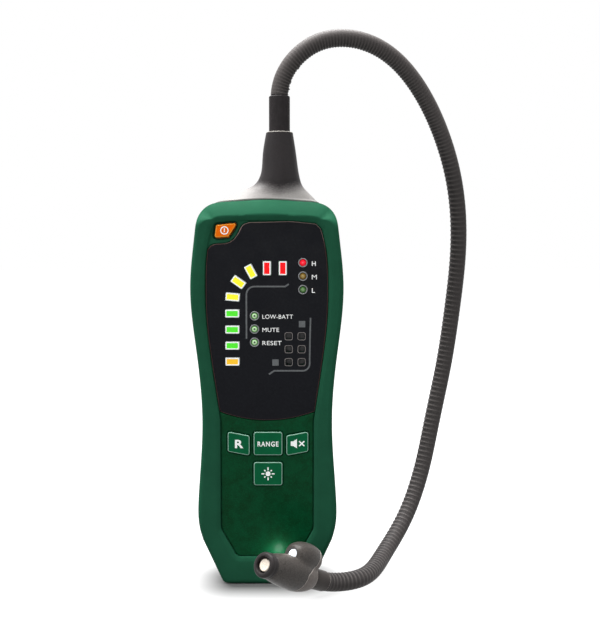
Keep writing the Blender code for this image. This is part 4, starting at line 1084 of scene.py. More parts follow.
@dataclass(frozen=True)
class HousingForm:
    """Sizes and outlines of the housing, which the pieces on and in it share."""

    height: float = 0.1882
    width: float = 0.0742
    depth: float = 0.0410
    base_width: float = 0.0430
    base_corner: float = 0.0030
    wall: float = 0.0020
    front_edge: float = 0.0024
    top_edge: float = 0.0072
    top_edge_from: float = -0.0132
    top_edge_growth: float = 0.0094
    chamfer: float = 0.85
    chamfer_depth: float = 0.80
    back_edge: float = 0.0060
    foot_edge: float = 0.0022
    parting_y: float = 0.0020
    gap: float = 0.0003
    face_drop: float = 0.0013
    face_draft: float = 0.0026
    face_lip: float = 0.0007
    plate: float = 0.0012
    recess_bottom: float = 0.0136
    recess_top_margin: float = 0.0102
    recess_crown: float = 0.0012
    window_height: float = 0.0970
    window_rise: float = 0.0044
    notch_start: float = -0.0138
    notch_points: tuple[Pair, ...] = (
        (-0.0264, -0.0118), (-0.0232, -0.0111), (-0.0184, -0.0105), (-0.0139, -0.0062), (-0.0113, -0.0020),
        (-0.0084, -0.0008),
    )
    side_shares: tuple[Pair, ...] = (
        (0.852, 0.115), (0.897, 0.147), (0.911, 0.223), (0.854, 0.425), (0.916, 0.595), (1.000, 0.776),
        (0.935, 0.919), (0.877, 0.964), (0.755, 0.986), (0.500, 0.9948), (0.000, 1.000),
    )
    recess_shares: tuple[Pair, ...] = (
        (0.612, 0.146), (0.612, 0.430), (0.660, 0.490), (0.735, 0.590), (0.795, 0.700), (0.803, 0.795),
        (0.768, 0.880), (0.712, 0.925),
    )
    recess_base_share: float = 0.404
    recess_corner_share: float = 0.640
    board_space: float = 0.0052

    @property
    def front_y(self) -> float:
        """Depth of the front rim."""
        return -self.depth / 2

    @property
    def back_y(self) -> float:
        """Depth of the back."""
        return self.depth / 2

    @property
    def face_y(self) -> float:
        """Depth of the window's and the panel's face."""
        return self.front_y + self.face_drop

    @property
    def bed_y(self) -> float:
        """Depth of the floor that they lie on."""
        return self.face_y + self.plate + self.gap

    @property
    def bed_inner_y(self) -> float:
        """Depth of that floor's inner side."""
        return self.bed_y + self.wall

    @property
    def board_y(self) -> float:
        """Depth of the circuit board's front."""
        return self.bed_inner_y + self.board_space

    @property
    def recess_top(self) -> float:
        """Height of the recess's top, which heights on the face are measured from."""
        return self.height - self.recess_top_margin

    @property
    def window_bottom(self) -> float:
        """Height of the window's foot at its middle."""
        return self.recess_top - self.window_height

    def on_face(self, points: object) -> np.ndarray:
        """Places given by X and the height below the recess's top, as X and height."""
        return np.asarray(points, dtype=float) + np.array((0.0, self.recess_top))

    def outline(self, per_span: int = 10) -> np.ndarray:
        """The housing seen from the front: a natural cubic through its side shares, on a short base.

        Args:
            per_span: Steps between two given shares.

        Returns:
            The closed outline, counterclockwise from the base's left.
        """
        half = np.array((self.width / 2, self.height))
        right = np.array(self.side_shares) * half
        left = right[-2::-1] * np.array((-1, 1))
        arch = natural_spline(np.concatenate([right, left]), per_span)
        arch[:, 0] = np.clip(arch[:, 0], -half[0], half[0])
        corner = corner_arc((0, 0), (self.base_width / 2, 0), right[0], self.base_corner, 6)
        mirrored = corner[::-1] * np.array((-1, 1))
        return np.concatenate([mirrored, corner, arch])

    def half_width(self, z: float) -> float:
        """Half the housing's width at a height, read along its side shares."""
        right = np.array(self.side_shares) * np.array((self.width / 2, self.height))
        return float(np.interp(z, right[:, 1], right[:, 0]))

    def edge_radius(self, outline: np.ndarray, plain: float, top: float) -> np.ndarray:
        """The roundness of the edge at each point: small at the foot, growing over the shoulders.

        Args:
            outline: The outline's points.
            plain: Radius along the sides.
            top: Radius at the top.

        Returns:
            The radius at each point, eased by 3t^2 - 2t^3 between the three values.
        """
        rise = np.clip((outline[:, 1] - self.height - self.top_edge_from) / self.top_edge_growth, 0, 1)
        foot = np.clip((outline[:, 1] - 0.0015) / 0.0160, 0, 1)
        rise, foot = (x * x * (3 - 2 * x) for x in (rise, foot))
        low = min(self.foot_edge, plain)
        return low + (plain - low) * foot + (top - plain) * rise

    def edge_rings(self, plain: float, top: float, face_y: float, towards: int) -> list[np.ndarray]:
        """Rings over the rounded edge, from the face down to the side wall.

        Args:
            plain: Radius along the sides.
            top: Radius at the top.
            face_y: Depth of the face.
            towards: 1 for the front edge and -1 for the back edge.

        Returns:
            The rings, each the outline moved in by r (1 - sin a) and back by r (1 - cos a). Towards
            the top a straight chamfer, r (1 - t) by r t, takes over most of the round.
        """
        outline = self.outline()
        radius = self.edge_radius(outline, plain, top)
        rise = np.clip((radius - plain) / max(top - plain, 1e-6), 0, 1) * self.chamfer
        rings = []
        for a in np.linspace(0, math.pi / 2, 11):
            t = a / (math.pi / 2)
            shift = radius * ((1 - rise) * (1 - math.sin(a)) + rise * (1 - t))
            depth = radius * ((1 - rise) * (1 - math.cos(a)) + rise * self.chamfer_depth * t)
            rings.append(at_depth(inset(outline, shift), face_y + towards * depth))
        return rings

    def recess(self) -> np.ndarray:
        """The sunk face: straight foot and chamfers, cubic sides, a low crown and rounded corners.

        Returns:
            The closed outline, counterclockwise from the foot's right.
        """
        half = np.array((self.width / 2, self.height))
        side = natural_spline(np.array(self.recess_shares[1:]) * half, 8)
        foot = np.array((self.recess_base_share * half[0], self.recess_bottom))
        knee = np.array(self.recess_shares[0]) * half
        corner = np.array((self.recess_corner_share * half[0], self.recess_top - self.recess_crown))
        crown = np.array((corner[0] / 2, self.recess_top))
        foot = corner_arc(foot * (-1, 1), foot, knee, 0.0030, 6)
        knee = corner_arc(foot[-1], knee, side[0], 0.0060, 6)
        corner = corner_arc(side[-1], corner, crown, 0.0018, 8)
        crown = corner_arc(corner[-1], crown, crown * (-1, 1), 0.0400, 6)
        right = np.concatenate([foot, knee, side, corner, crown])
        return np.concatenate([right, right[::-1] * np.array((-1, 1))])

    def recess_half_width(self, z: float) -> float:
        """Half the recess's width at a height.

        Args:
            z: The height.

        Returns:
            Half the width there.
        """
        outline = self.recess()
        right = outline[:len(outline) // 2]
        return float(np.interp(z, right[:, 1], right[:, 0]))

    def seam(self, x: np.ndarray, lift: float) -> np.ndarray:
        """The parabola between the window and the panel: its height over each X, plus a lift."""
        edge = self.recess_half_width(self.window_bottom + self.window_rise)
        return self.window_bottom + self.window_rise * (x / edge) ** 2 + lift

    def notch(self) -> np.ndarray:
        """The S-shaped edge round the power key, from the recess's side up to its top.

        Returns:
            The curve's points.
        """
        z = self.recess_top + self.notch_start
        start = np.array([(-(self.recess_half_width(z) - self.gap), z)])
        return natural_spline(np.concatenate([start, self.on_face(self.notch_points)]), 10)

    def window(self) -> np.ndarray:
        """The window's outline: arc foot, recess sides and the notch for the power key.

        Returns:
            The closed outline.
        """
        edge = self.recess_half_width(self.window_bottom + self.window_rise) - self.gap
        x = np.linspace(-edge, edge, 41)
        foot = np.stack([x, self.seam(x, self.gap / 2)], axis=1)
        full = inset(self.recess(), self.gap)
        side = full[:len(full) // 2]
        right = side[side[:, 1] > foot[-1, 1] + 0.0006]
        notch = self.notch()
        left = right[right[:, 1] < notch[0, 1] - 0.0006] * np.array((-1, 1))
        return np.concatenate([foot, right, notch[::-1], left[::-1]])

    def panel(self) -> np.ndarray:
        """The keypad panel's outline, below the window's arc.

        Returns:
            The closed outline.
        """
        full = inset(self.recess(), self.gap)
        side = full[:len(full) // 2]
        side = side[side[:, 1] < self.window_bottom + self.window_rise - 0.0006]
        edge = self.recess_half_width(self.window_bottom + self.window_rise) - self.gap
        x = np.linspace(edge, -edge, 41)
        top = np.stack([x, self.seam(x, -self.gap / 2)], axis=1)
        return np.concatenate([side, top, side[::-1] * np.array((-1, 1))])

    def crown_height(self, x: np.ndarray) -> np.ndarray:
        """Height of the housing's crown over each X.

        Args:
            x: The X values.

        Returns:
            The height over each.
        """
        outline = self.outline(20)
        crown = outline[outline[:, 1] > 0.9 * self.height]
        order = np.argsort(crown[:, 0])
        return np.interp(x, crown[order, 0], crown[order, 1])


@dataclass(frozen=True)
class KeyShape:
    """One key of the keypad: its outline on the face, its middle and what moves with it."""

    name: str
    outline: np.ndarray
    centre: Pair


@dataclass
class KeyLayout:
    """Outlines of the five keys, set out from the window's foot."""

    form: HousingForm
    corner: float = 0.0012
    power_corner: float = 0.0008
    wide: Pair = (0.0141, 0.0116)
    side: Pair = (0.0108, 0.0100)
    slope: float = 0.0021
    row_drop: float = 0.0113
    spacing: float = 0.0143
    centre_x: float = 0.0004
    light_drop: float = 0.0149
    power_corners: tuple[Pair, ...] = (
        (-0.0250, -0.0082), (-0.0184, -0.0078), (-0.0141, -0.0012), (-0.0243, -0.0022),
    )

    def keys(self) -> dict[str, KeyShape]:
        """The keys by name: two leaning side keys, two wide ones and the power key.

        Returns:
            Each key's shape by its name.
        """
        row = self.form.window_bottom - self.row_drop
        w, h = self.side[0] / 2, self.side[1] / 2
        out = {}
        for name, hand in (("reset_key", -1), ("mute_key", 1)):
            x, lean = self.centre_x + hand * self.spacing, hand * self.slope / 2
            corners = np.array([(x - w, row - h - lean), (x + w, row - h + lean)])
            corners = np.concatenate([corners, [(x + w, row + h + lean), (x - w, row + h - lean)]])
            out[name] = KeyShape(name, rounded(corners, self.corner), (x, row))
        for name, z in (("range_key", row), ("light_key", row - self.light_drop)):
            centre = (self.centre_x, z)
            out[name] = KeyShape(name, rectangle(centre, self.wide, self.corner), centre)
        corners = self.form.on_face(self.power_corners)
        outline = rounded(corners, self.power_corner)
        out["power_key"] = KeyShape("power_key", outline, tuple(corners.mean(axis=0)))
        return out


@dataclass
class LampLayout:
    """Places of the bar lights, the round lamps and the sound holes on the face."""

    form: HousingForm
    bar_size: Pair = (0.0066, 0.0037)
    column_start: Pair = (-0.0168, -0.0682)
    column_pitch: float = 0.0078
    bend: tuple[Pair, ...] = ((-0.0166, -0.0368), (-0.0138, -0.0296), (-0.0078, -0.0245))
    bend_turns: tuple[float, ...] = (-5.0, -35.0, -62.0)
    row_start: Pair = (0.0, -0.0229)
    row_pitch: float = 0.0077
    lamp_radius: float = 0.0015
    lamp_gap: float = 0.0003
    level_inset: float = 0.0197
    level_start: float = -0.0202
    level_pitch: float = 0.0065
    state_start: Pair = (-0.0060, -0.0459)
    state_pitch: float = 0.0064
    sound_corner: Pair = (0.0105, -0.0684)
    sound_pitch: float = 0.0063
    sound_size: float = 0.0027

    def bars(self) -> list[tuple[float, float, float]]:
        """X, height and turn in degrees of each bar, in the order in which they light up.

        Returns:
            The three numbers of each bar.
        """
        column = [(self.column_start[0], self.column_start[1] + i * self.column_pitch) for i in range(4)]
        row = [(self.row_start[0] + i * self.row_pitch, self.row_start[1]) for i in range(2)]
        places = self.form.on_face([*column, *self.bend, *row])
        turns = (0.0,) * 4 + self.bend_turns + (90.0,) * 2
        return [(float(x), float(z), turn) for (x, z), turn in zip(places, turns)]

    def lamps(self) -> dict[str, Pair]:
        """Middle of each round lamp by the name of its node.

        Returns:
            X and height of each.
        """
        level = (self.form.width / 2 - self.level_inset, self.level_start)
        columns = (
            (("high_lamp", "medium_lamp", "low_lamp"), level, self.level_pitch),
            (("battery_lamp", "mute_lamp", "reset_lamp"), self.state_start, self.state_pitch),
        )
        return {
            name: (x, self.form.recess_top + z - i * pitch)
            for names, (x, z), pitch in columns
            for i, name in enumerate(names)
        }

    def sound_holes(self) -> list[Pair]:
        """Middle of each sound hole: two columns of three.

        Returns:
            X and height of each.
        """
        x, z = self.sound_corner
        pitch = self.sound_pitch
        places = [(x + i * pitch, z + j * pitch) for i in range(2) for j in range(3)]
        return [tuple(p) for p in self.form.on_face(places)]


@dataclass
class Case:
    """The two half shells, their battery door and the screws that hold them together."""

    form: HousingForm
    layout: KeyLayout
    lamps: LampLayout
    screw_insets: Pair = (0.0086, 0.0105)
    lower_screw: float = 0.0345
    upper_screw_drop: float = 0.0322
    screw_radius: float = 0.0014
    screw_head: float = 0.0026
    screw_head_height: float = 0.0018
    cross_size: Pair = (0.0026, 0.0006)
    cross_taper: float = 0.6
    cross_depth: float = 0.0009
    screw_head_depth: float = 0.0030
    screw_length: float = 0.0240
    boss_radius: float = 0.0032
    boss_shoulder: float = 0.0012
    key_gap: float = 0.0004
    dish_margin: float = 0.0006
    dish_slope: float = 0.0007
    cell_radius: float = 0.00725
    cell_length: float = 0.0505
    cell_separation: float = 0.0011
    contact: float = 0.0006
    spring: float = 0.0042
    pocket_bottom: float = 0.0118
    pocket_wall: float = 0.0016
    door_ledge: float = 0.0021
    door_thickness: float = 0.0020
    door_corner: float = 0.0030
    ridge_count: int = 5
    ridge_start: float = 0.0088
    ridge_pitch: float = 0.0022
    ridge_size: tuple[float, float, float] = (0.0150, 0.0010, 0.0005)
    neck_x: float = 0.0058
    spigot: float = 0.0083

    @property
    def pocket_size(self) -> Pair:
        """Width and height of the battery pocket.

        Returns:
            The two lengths.
        """
        gap = self.form.gap
        width = 4 * self.cell_radius + self.cell_separation + 2 * gap
        return (width, 2 * self.contact + self.spring + 2 * self.cell_length + gap + 5 * gap)

    @property
    def door_inner_y(self) -> float:
        """Depth of the door's inner side."""
        return self.form.back_y - self.door_thickness

    @property
    def cell_y(self) -> float:
        """Depth of the cells' axes."""
        return self.door_inner_y - self.form.gap - self.cell_radius

    def screw_places(self) -> list[Pair]:
        """Middles of the four screws: lower left, lower right, upper left and upper right."""
        heights = (self.lower_screw, self.form.height - self.upper_screw_drop)
        return [
            (side * (self.form.half_width(z) - gap), z)
            for z, gap in zip(heights, self.screw_insets)
            for side in (-1, 1)
        ]

    def spigot_hole(self) -> Solid:
        """The round hole in the crown that the neck passes through.

        Returns:
            The solid to cut away.
        """
        solid = Solid()
        ring = circle((self.neck_x, 0), self.spigot, 40)
        heights = (self.form.height - 4 * self.form.wall, self.form.height + 2 * self.form.wall)
        solid.add_grid(np.stack([np.column_stack([ring, np.full(len(ring), z)]) for z in heights]))
        return solid

    def land(self) -> Solid:
        """The raised land between the window's notch and the power key's dish.

        Returns:
            The solid to add.
        """
        form = self.form
        curve = form.notch()
        wall = inset(form.recess(), -form.wall / 2)
        corner = wall[(wall[:, 1] > curve[0, 1]) & (wall[:, 0] < curve[-1, 0])]
        outline = np.concatenate([curve + np.array((-form.gap, form.gap)), corner])
        levels = [(0.00035, form.face_y), (0.0001, form.face_y + 0.0001), (0.0, form.face_y + 0.00035)]
        levels += [(0.0, form.bed_y + form.wall / 2)]
        solid = Solid()
        solid.add_steps(outline, levels)
        return solid

    def dish(self) -> Solid:
        """The sloping dish that the power key stands in: its outline set out further at the brim.

        Returns:
            The solid to cut away.
        """
        form = self.form
        key = self.layout.keys()["power_key"].outline
        steps = [(self.dish_margin + self.dish_slope, form.face_y - form.wall)]
        steps += [(self.dish_margin + self.dish_slope, form.face_y)]
        steps += [(self.dish_margin, form.bed_y), (self.dish_margin, form.bed_y + 0.0001)]
        solid = Solid()
        solid.add_grid(np.stack([at_depth(inset(key, -d), y) for d, y in steps]))
        return solid

    def key_openings(self) -> Solid:
        """The openings of the five keys through the floor, wider than the keys by their gap.

        Returns:
            The solid to cut away.
        """
        form = self.form
        solid = Solid()
        for key in self.layout.keys().values():
            wide = inset(key.outline, -self.key_gap)
            solid.add_prism(wide, form.front_y - 0.002, form.bed_inner_y + 0.002)
        return solid

    def light_openings(self) -> Solid:
        """The openings behind the bars, the lamps and the sound holes.

        Returns:
            The solid to cut away.
        """
        form, lamps = self.form, self.lamps
        size = tuple(s + 2 * lamps.lamp_gap for s in lamps.bar_size)
        outlines = [rectangle((x, z), size, angle=turn) for x, z, turn in lamps.bars()]
        outlines += [rectangle(c, (lamps.sound_size,) * 2) for c in lamps.sound_holes()]
        outlines += [circle(c, lamps.lamp_radius + lamps.lamp_gap, 20) for c in lamps.lamps().values()]
        solid = Solid()
        for outline in outlines:
            solid.add_prism(outline, form.front_y - 0.002, form.bed_inner_y + 0.002)
        return solid

    def front_shell(self) -> None:
        """The front half: rounded rim, sunk face with its slope and lip, land, bosses and openings."""
        form = self.form
        split = form.parting_y - form.gap / 2
        outline = form.outline()
        shell = Solid()
        rings = form.edge_rings(form.front_edge, form.top_edge, form.front_y, 1)
        shell.add_grid(np.stack([*rings, at_depth(outline, split)]))
        cavity = prism(inset(form.outline(4), form.wall), form.bed_inner_y, split + form.wall)
        recess = form.recess()
        steps = [(0.0, form.bed_y), (0.0, form.front_y + form.face_lip)]
        for t in np.linspace(0.2, 1.0, 5):
            slope = form.front_y + form.face_lip * (1 - t) ** 1.7
            steps.append((-form.face_draft * t, slope))
        steps.append((-form.face_draft - 0.0002, form.front_y - form.face_drop))
        face = Solid()
        face.add_steps(recess, steps)
        places = self.screw_places()
        root = form.bed_inner_y - form.wall / 2
        bosses = posts(places, self.boss_radius, root, split - form.gap)
        shoulders = posts(places, self.boss_radius + self.boss_shoulder, root, form.board_y - form.gap)
        tip = form.back_y - self.screw_head_depth - self.screw_length - form.gap
        pilots = posts(places, self.screw_radius + form.gap, tip, split + form.wall)
        cuts = [("DIFFERENCE", cavity), ("DIFFERENCE", face), ("UNION", self.land()),
                ("DIFFERENCE", self.dish())]
        cuts += [("UNION", shoulders), ("UNION", bosses), ("DIFFERENCE", pilots)]
        cuts += [("DIFFERENCE", s) for s in (self.key_openings(), self.light_openings(), self.spigot_hole())]
        shell_piece = carve("case_front_shell", shell, cuts, Looks.CASE)
        settle(shell_piece, "instrument", "green_case", "front_housing")

    def rear_shell(self) -> None:
        """The rear half: deep rounded edge, battery pocket with its door ledge, posts and screw sinks."""
        form = self.form
        split = form.parting_y + form.gap / 2
        shell = Solid()
        rings = form.edge_rings(form.back_edge, form.back_edge, form.back_y, -1)
        shell.add_grid(np.stack([*rings, at_depth(form.outline(), split)]))
        inner = inset(form.outline(4), form.wall)
        edge = form.edge_radius(form.outline(4), form.back_edge, form.back_edge) - 0.0008
        cavity = Solid()
        levels = [(edge, form.back_y - form.wall), (0.0, form.back_y - form.wall - edge),
                  (0.0, split - form.wall)]
        cavity.add_steps(inner, levels)
        width, height = self.pocket_size
        middle = (0.0, self.pocket_bottom + height / 2)
        grow, ledge = 2 * self.pocket_wall, 2 * self.door_ledge
        floor = self.cell_y - self.cell_radius - form.gap
        ledge_y = self.door_inner_y - form.gap
        inside = form.back_y - form.wall / 2
        walls = prism(rectangle(middle, (width + grow, height + grow), 0.001), floor - self.pocket_wall,
                      inside)
        rim_size = (width + ledge + grow, height + ledge + grow)
        rim = prism(rectangle(middle, rim_size, 0.004), ledge_y - self.pocket_wall, inside)
        space = prism(rectangle(middle, (width, height), 0.0006), floor, form.back_y + form.wall)
        opening = (width + ledge + 2 * form.gap, height + ledge + 2 * form.gap)
        doorway = prism(rectangle(middle, opening, self.door_corner + form.gap), ledge_y,
                        form.back_y + form.wall)
        places = self.screw_places()
        post_group = posts(places, self.boss_radius + self.boss_shoulder, split + form.gap, inside)
        holes = posts(places, self.screw_radius + form.gap, split - form.wall, form.back_y + form.wall)
        seat = form.back_y - self.screw_head_depth
        sinks = posts(places, self.screw_head + form.gap, seat - form.gap, form.back_y + form.wall)
        cuts = [("DIFFERENCE", cavity), ("UNION", walls), ("UNION", rim), ("UNION", post_group)]
        cuts += [("DIFFERENCE", s) for s in (space, doorway, holes, sinks, self.spigot_hole())]
        shell_piece = carve("case_rear_shell", shell, cuts, Looks.CASE)
        settle(shell_piece, "instrument", "green_case", "rear_housing")

    def door(self) -> None:
        """The battery door: rounded edge and a grip of five ridges."""
        form = self.form
        width, height = (s + 2 * self.door_ledge for s in self.pocket_size)
        bottom = self.pocket_bottom - self.door_ledge
        outline = rectangle((0.0, bottom + height / 2), (width, height), self.door_corner)
        rings = [at_depth(outline, self.door_inner_y)]
        rings += [at_depth(inset(outline, d), form.back_y - drop)
                  for d, drop in reversed(quarter_round(0.0005, 4))]
        door = Solid()
        door.add_grid(np.stack(rings))
        ridges = Solid()
        w, h, rise = self.ridge_size
        for i in range(self.ridge_count):
            z = bottom + height - self.ridge_start - i * self.ridge_pitch
            shape = rectangle((0.0, z), (w, h), 0.0004)
            levels = [(0.0, form.back_y - rise), (0.0, form.back_y + 0.0002), (0.00012, form.back_y + 0.0004)]
            levels.append((0.0003, form.back_y + rise))
            ridges.add_steps(shape, levels)
        piece = carve("battery_door_shell", door, [("UNION", ridges)], Looks.CASE)
        settle(piece, "battery_door", "green_case", "battery_door")

    def screws(self) -> None:
        """The four screws, each with a domed head and a cross recess."""
        names = ("lower_left", "lower_right", "upper_left", "upper_right")
        seat = self.form.back_y - self.screw_head_depth
        for name, (x, z) in zip(names, self.screw_places()):
            r, top = self.screw_head, self.screw_head_height
            profile = [(0.0, -self.screw_length), (self.screw_radius, -self.screw_length + self.screw_radius)]
            profile += [(self.screw_radius, 0.0), (r, 0.0), (r, top * 0.45)]
            profile += [(r * math.cos(a), top * (0.45 + 0.55 * math.sin(a)))
                        for a in np.linspace(0.35, 1.5, 7)]
            profile.append((0.0, top))
            body = Solid()
            body.add_turned(profile, 32)
            recess = Solid()
            for size in (self.cross_size, self.cross_size[::-1]):
                cross = rectangle((0.0, 0.0), size)
                low = np.column_stack([cross * self.cross_taper, np.full(4, top - self.cross_depth)])
                recess.add_grid(np.stack([low, np.column_stack([cross, np.full(4, top + 0.0005)])]))
            piece = carve("screw_" + name, body, [("DIFFERENCE", recess)], Looks.SCREW)
            move_mesh(piece, turn_to(Vector((0, 1, 0)), Vector((x, seat, z))))
            settle(piece, "instrument", "spring_steel", "housing_screw_" + name)

    def build(self) -> None:
        """Builds the whole case."""
        self.front_shell()
        self.rear_shell()
        self.door()
        self.screws()


@dataclass
class Face:
    """The glossy window with its lamps, sound holes and print, and the embossed keypad panel."""

    form: HousingForm
    layout: KeyLayout
    lamps: LampLayout
    key_gap: float = 0.0004
    edge: float = 0.00035
    print_height: float = 0.00005
    print_sink: float = 0.00004
    print_stroke: float = 0.00078
    bezel_radius: float = 0.00228
    bezel_gap: float = 0.00006
    bezel_rise: float = 0.00028
    bezel_foot: float = 0.00012
    lens_radius: float = 0.0017
    lens_rise: float = 0.0004
    lens_sunk: float = 0.0006
    bar_levels: tuple[Pair, ...] = (
        (0.00070, -0.00003), (0.00060, 0.00003), (0.00056, 0.00006), (0.00052, -0.00008),
        (0.00008, -0.00008), (0.0, 0.00002),
    )

    def window(self) -> None:
        """The window plate with a painted highlight on its edge, square-cornered lamp holes and bevelled
        sound holes.
        """
        form, lamps = self.form, self.lamps
        front, back = form.face_y, form.face_y + form.plate
        gap = lamps.lamp_gap
        loops = [Loop(form.window(), (self.edge, self.edge * 0.35, 0.0, 0.0), 1)]
        size = tuple(s + 2 * gap for s in lamps.bar_size)
        for x, z, turn in lamps.bars():
            loops.append(Loop(rectangle((x, z), size, angle=turn), (0.0, 0.0, 0.0, 0.0)))
        for centre in lamps.lamps().values():
            loops.append(Loop(circle(centre, lamps.lamp_radius + gap, 32), (0.0, 0.0, 0.0, 0.0)))
        for centre in lamps.sound_holes():
            hole = rectangle(centre, (lamps.sound_size,) * 2, 0.0006)
            loops.append(Loop(hole, (0.00028, 0.00018, 0.0, 0.0)))
        solid = Solid()
        solid.add_plate(loops, (front, front + 0.00012, front + 0.00035, back))
        piece = solid.build("window_plate", Looks.WINDOW, Looks.WINDOW_EDGE_HIGHLIGHT)
        settle(piece, "instrument", "black_window", "display_window")

    def panel(self) -> None:
        """The keypad panel with its key openings."""
        form = self.form
        front = form.face_y
        loops = [Loop(form.panel(), (0.0003, 0.0001, 0.0, 0.0))]
        for name, key in self.layout.keys().items():
            if name != "power_key":
                wide = inset(key.outline, -self.key_gap)
                loops.append(Loop(wide, (0.0002, 0.00008, 0.0, 0.0)))
        solid = Solid()
        solid.add_plate(loops, (front, front + 0.0001, front + 0.0003, front + form.plate))
        piece = solid.build("keypad_skin", Looks.PANEL)
        settle(piece, "instrument", "green_panel", "keypad_panel")

    def bars(self) -> None:
        """The nine bar lights, each a coloured lens in a white frame."""
        colours = [Looks.AMBER] + [Looks.GREEN] * 3 + [Looks.YELLOW] * 3 + [Looks.RED] * 2
        slots = ["amber_lens"] + ["green_lens"] * 3 + ["yellow_lens"] * 3 + ["red_lens"] * 2
        front = self.form.face_y
        foot = self.form.board_y - self.form.gap
        for i, (x, z, turn) in enumerate(self.lamps.bars()):
            solid = Solid()
            rings = []
            for d, y in [*self.bar_levels, (0.0, foot - front)]:
                size = tuple(s - 2 * d for s in self.lamps.bar_size)
                rings.append(at_depth(rectangle((x, z), size, max(0.0003 - d / 3, 0.00008), turn), front + y))
            solid.add_stack(rings, 3, (0, 0, 1))
            piece = solid.build(f"bar_lens_{i + 1}", colours[i], Looks.BAR_FRAME)
            settle(piece, "instrument", slots[i], f"bar_light_{i + 1}")

    def round_lamps(self) -> None:
        """The six round lamps: a domed lens, and a rolled ring round it on the window whose pale grey
        is a painted highlight of the hole's bevelled edge.
        """
        looks = {
            "high_lamp": (Looks.HIGH, "red_lens"),
            "medium_lamp": (Looks.MEDIUM, "amber_lens"),
            "low_lamp": (Looks.LOW, "green_lens"),
        }
        front = self.form.face_y
        foot = self.form.board_y - self.form.gap
        radius, top, sunk = self.lens_radius, self.lens_rise, self.lens_sunk
        angles = np.linspace(0, math.pi / 2, 13)
        for name, (x, z) in self.lamps.lamps().items():
            look, slot = looks.get(name, (Looks.STATE, "green_lens"))
            profile = [(0.0, front - foot), (radius, front - foot)]
            profile += [(radius * math.cos(a), -sunk + (top + sunk) * math.sin(a)) for a in angles]
            share = np.array([r for r, _ in profile]) / radius
            lens = Solid()
            lens.add_turned(profile, 32, share)
            piece = lens.build(name.replace("lamp", "lens"), look)
            move_mesh(piece, turn_to(Vector((0, -1, 0)), Vector((x, front, z))))
            settle(piece, "instrument", slot, name)
            ring = Solid()
            inner, outer = radius + self.bezel_gap, self.bezel_radius
            middle, half = (inner + outer) / 2, (outer - inner) / 2
            roll = [(middle - half * math.cos(a), self.bezel_rise * math.sin(a))
                    for a in np.linspace(0, math.pi, 11)]
            roll += [(outer, -self.bezel_foot), (inner, -self.bezel_foot), roll[0]]
            ring.add_turned(roll, 40)
            bezel = ring.build(name.replace("lamp", "bezel"), Looks.BEZEL_HIGHLIGHT)
            move_mesh(bezel, turn_to(Vector((0, -1, 0)), Vector((x, front, z))))
            settle(bezel, "instrument", "grey_plastic")

    def stamp(self, name: str, shapes: list, look: Looks, y: float, body: str) -> None:
        """Thin print that stands a twentieth of a millimetre proud.

        Args:
            name: The piece's name.
            shapes: What is printed, each a closed outline or a tuple of an outline and its holes.
            look: Its finish.
            y: Depth of the face under it.
            body: The body that it rides on.
        """
        solid = Solid()
        for shape in shapes:
            loops = [Loop(outline, (0.0, 0.0))
                     for outline in (shape if isinstance(shape, tuple) else (shape,))]
            solid.add_plate(loops, (y - self.print_height, y + self.print_sink))
        settle(solid.build(name, look), body, "white_lens")

    def print_on_window(self) -> None:
        """The grey marks on the window: two squares and two lines with rounded bends. The pale rims
        round the sound holes are a painted highlight of their bevelled edges.
        """
        y = self.form.face_y
        squares = [rectangle(c, (0.0031, 0.0031), 0.0002) for c in ((0.0170, 0.1281), (0.0041, 0.1094))]
        self.stamp("window_squares", squares, Looks.PRINT_GREY, y, "instrument")
        # Pale rims round the sound holes: a painted highlight of their bevelled edges.
        rim_highlights = [
            tuple(rectangle(c, (size, size), corner) for size, corner in ((0.0039, 0.0010), (0.0033, 0.0008)))
            for c in self.lamps.sound_holes()
        ]
        self.stamp("sound_hole_rim_highlights", rim_highlights, Looks.SOUND_RIM_HIGHLIGHT, y, "instrument")
        left = [np.array([(-0.0099, 0.1210), (-0.0099, 0.1300)])]
        left.append(corner_arc((-0.0099, 0.1210), (-0.0099, 0.1463), (0.0090, 0.1463), 0.0039, 10))
        left.append(np.array([(0.0060, 0.1463), (0.0088, 0.1463), (0.0106, 0.1475)]))
        right = [np.array([(0.0211, 0.1312), (0.0208, 0.1200)])]
        right.append(corner_arc((0.0208, 0.1200), (0.0206, 0.1054), (0.0038, 0.1054), 0.0033, 10))
        right.append(np.array([(0.0060, 0.1054), (0.0036, 0.1054), (0.0009, 0.1037)]))
        lines = [ribbon(np.concatenate(path), self.print_stroke) for path in (left, right)]
        self.stamp("window_lines", lines, Looks.PRINT_GREY, y, "instrument")

    def letters(
        self,
        name: str,
        text: str,
        box: tuple[float, float, float, float],
        y: float,
        body: str,
        weight: float = 0.001,
        spacing: float = 1.06,
    ) -> None:
        """Plain lettering, fitted to a width and a height.

        Args:
            name: The piece's name.
            text: The letters.
            box: Left edge, foot, width and height.
            y: Depth of the face under it.
            body: The body that it rides on.
            weight: How much bolder the letters are than the plain font.
            spacing: The letters' distance against the plain font's.
        """
        curve = bpy.data.curves.new(name, "FONT")
        curve.body = text
        curve.offset = weight
        curve.space_character = spacing
        curve.extrude = 0.02
        curve.resolution_u = 5
        writing = linked(name + "_text", curve)
        mesh = finished_mesh(writing)
        bpy.data.objects.remove(writing)
        points = points_of(mesh)
        low, high = points.min(axis=0), points.max(axis=0)
        share = (points - low) / (high - low)
        x = box[0] + share[:, 0] * box[2]
        z = box[1] + share[:, 1] * box[3]
        depth = y + self.print_sink - share[:, 2] * (self.print_height + self.print_sink)
        mesh.vertices.foreach_set("co", np.stack([x, depth, z], axis=1).ravel())
        mesh.update()
        settle(place_mesh(name, mesh, (Looks.PRINT_WHITE_GLOWING,), 30.0), body, "white_lens")

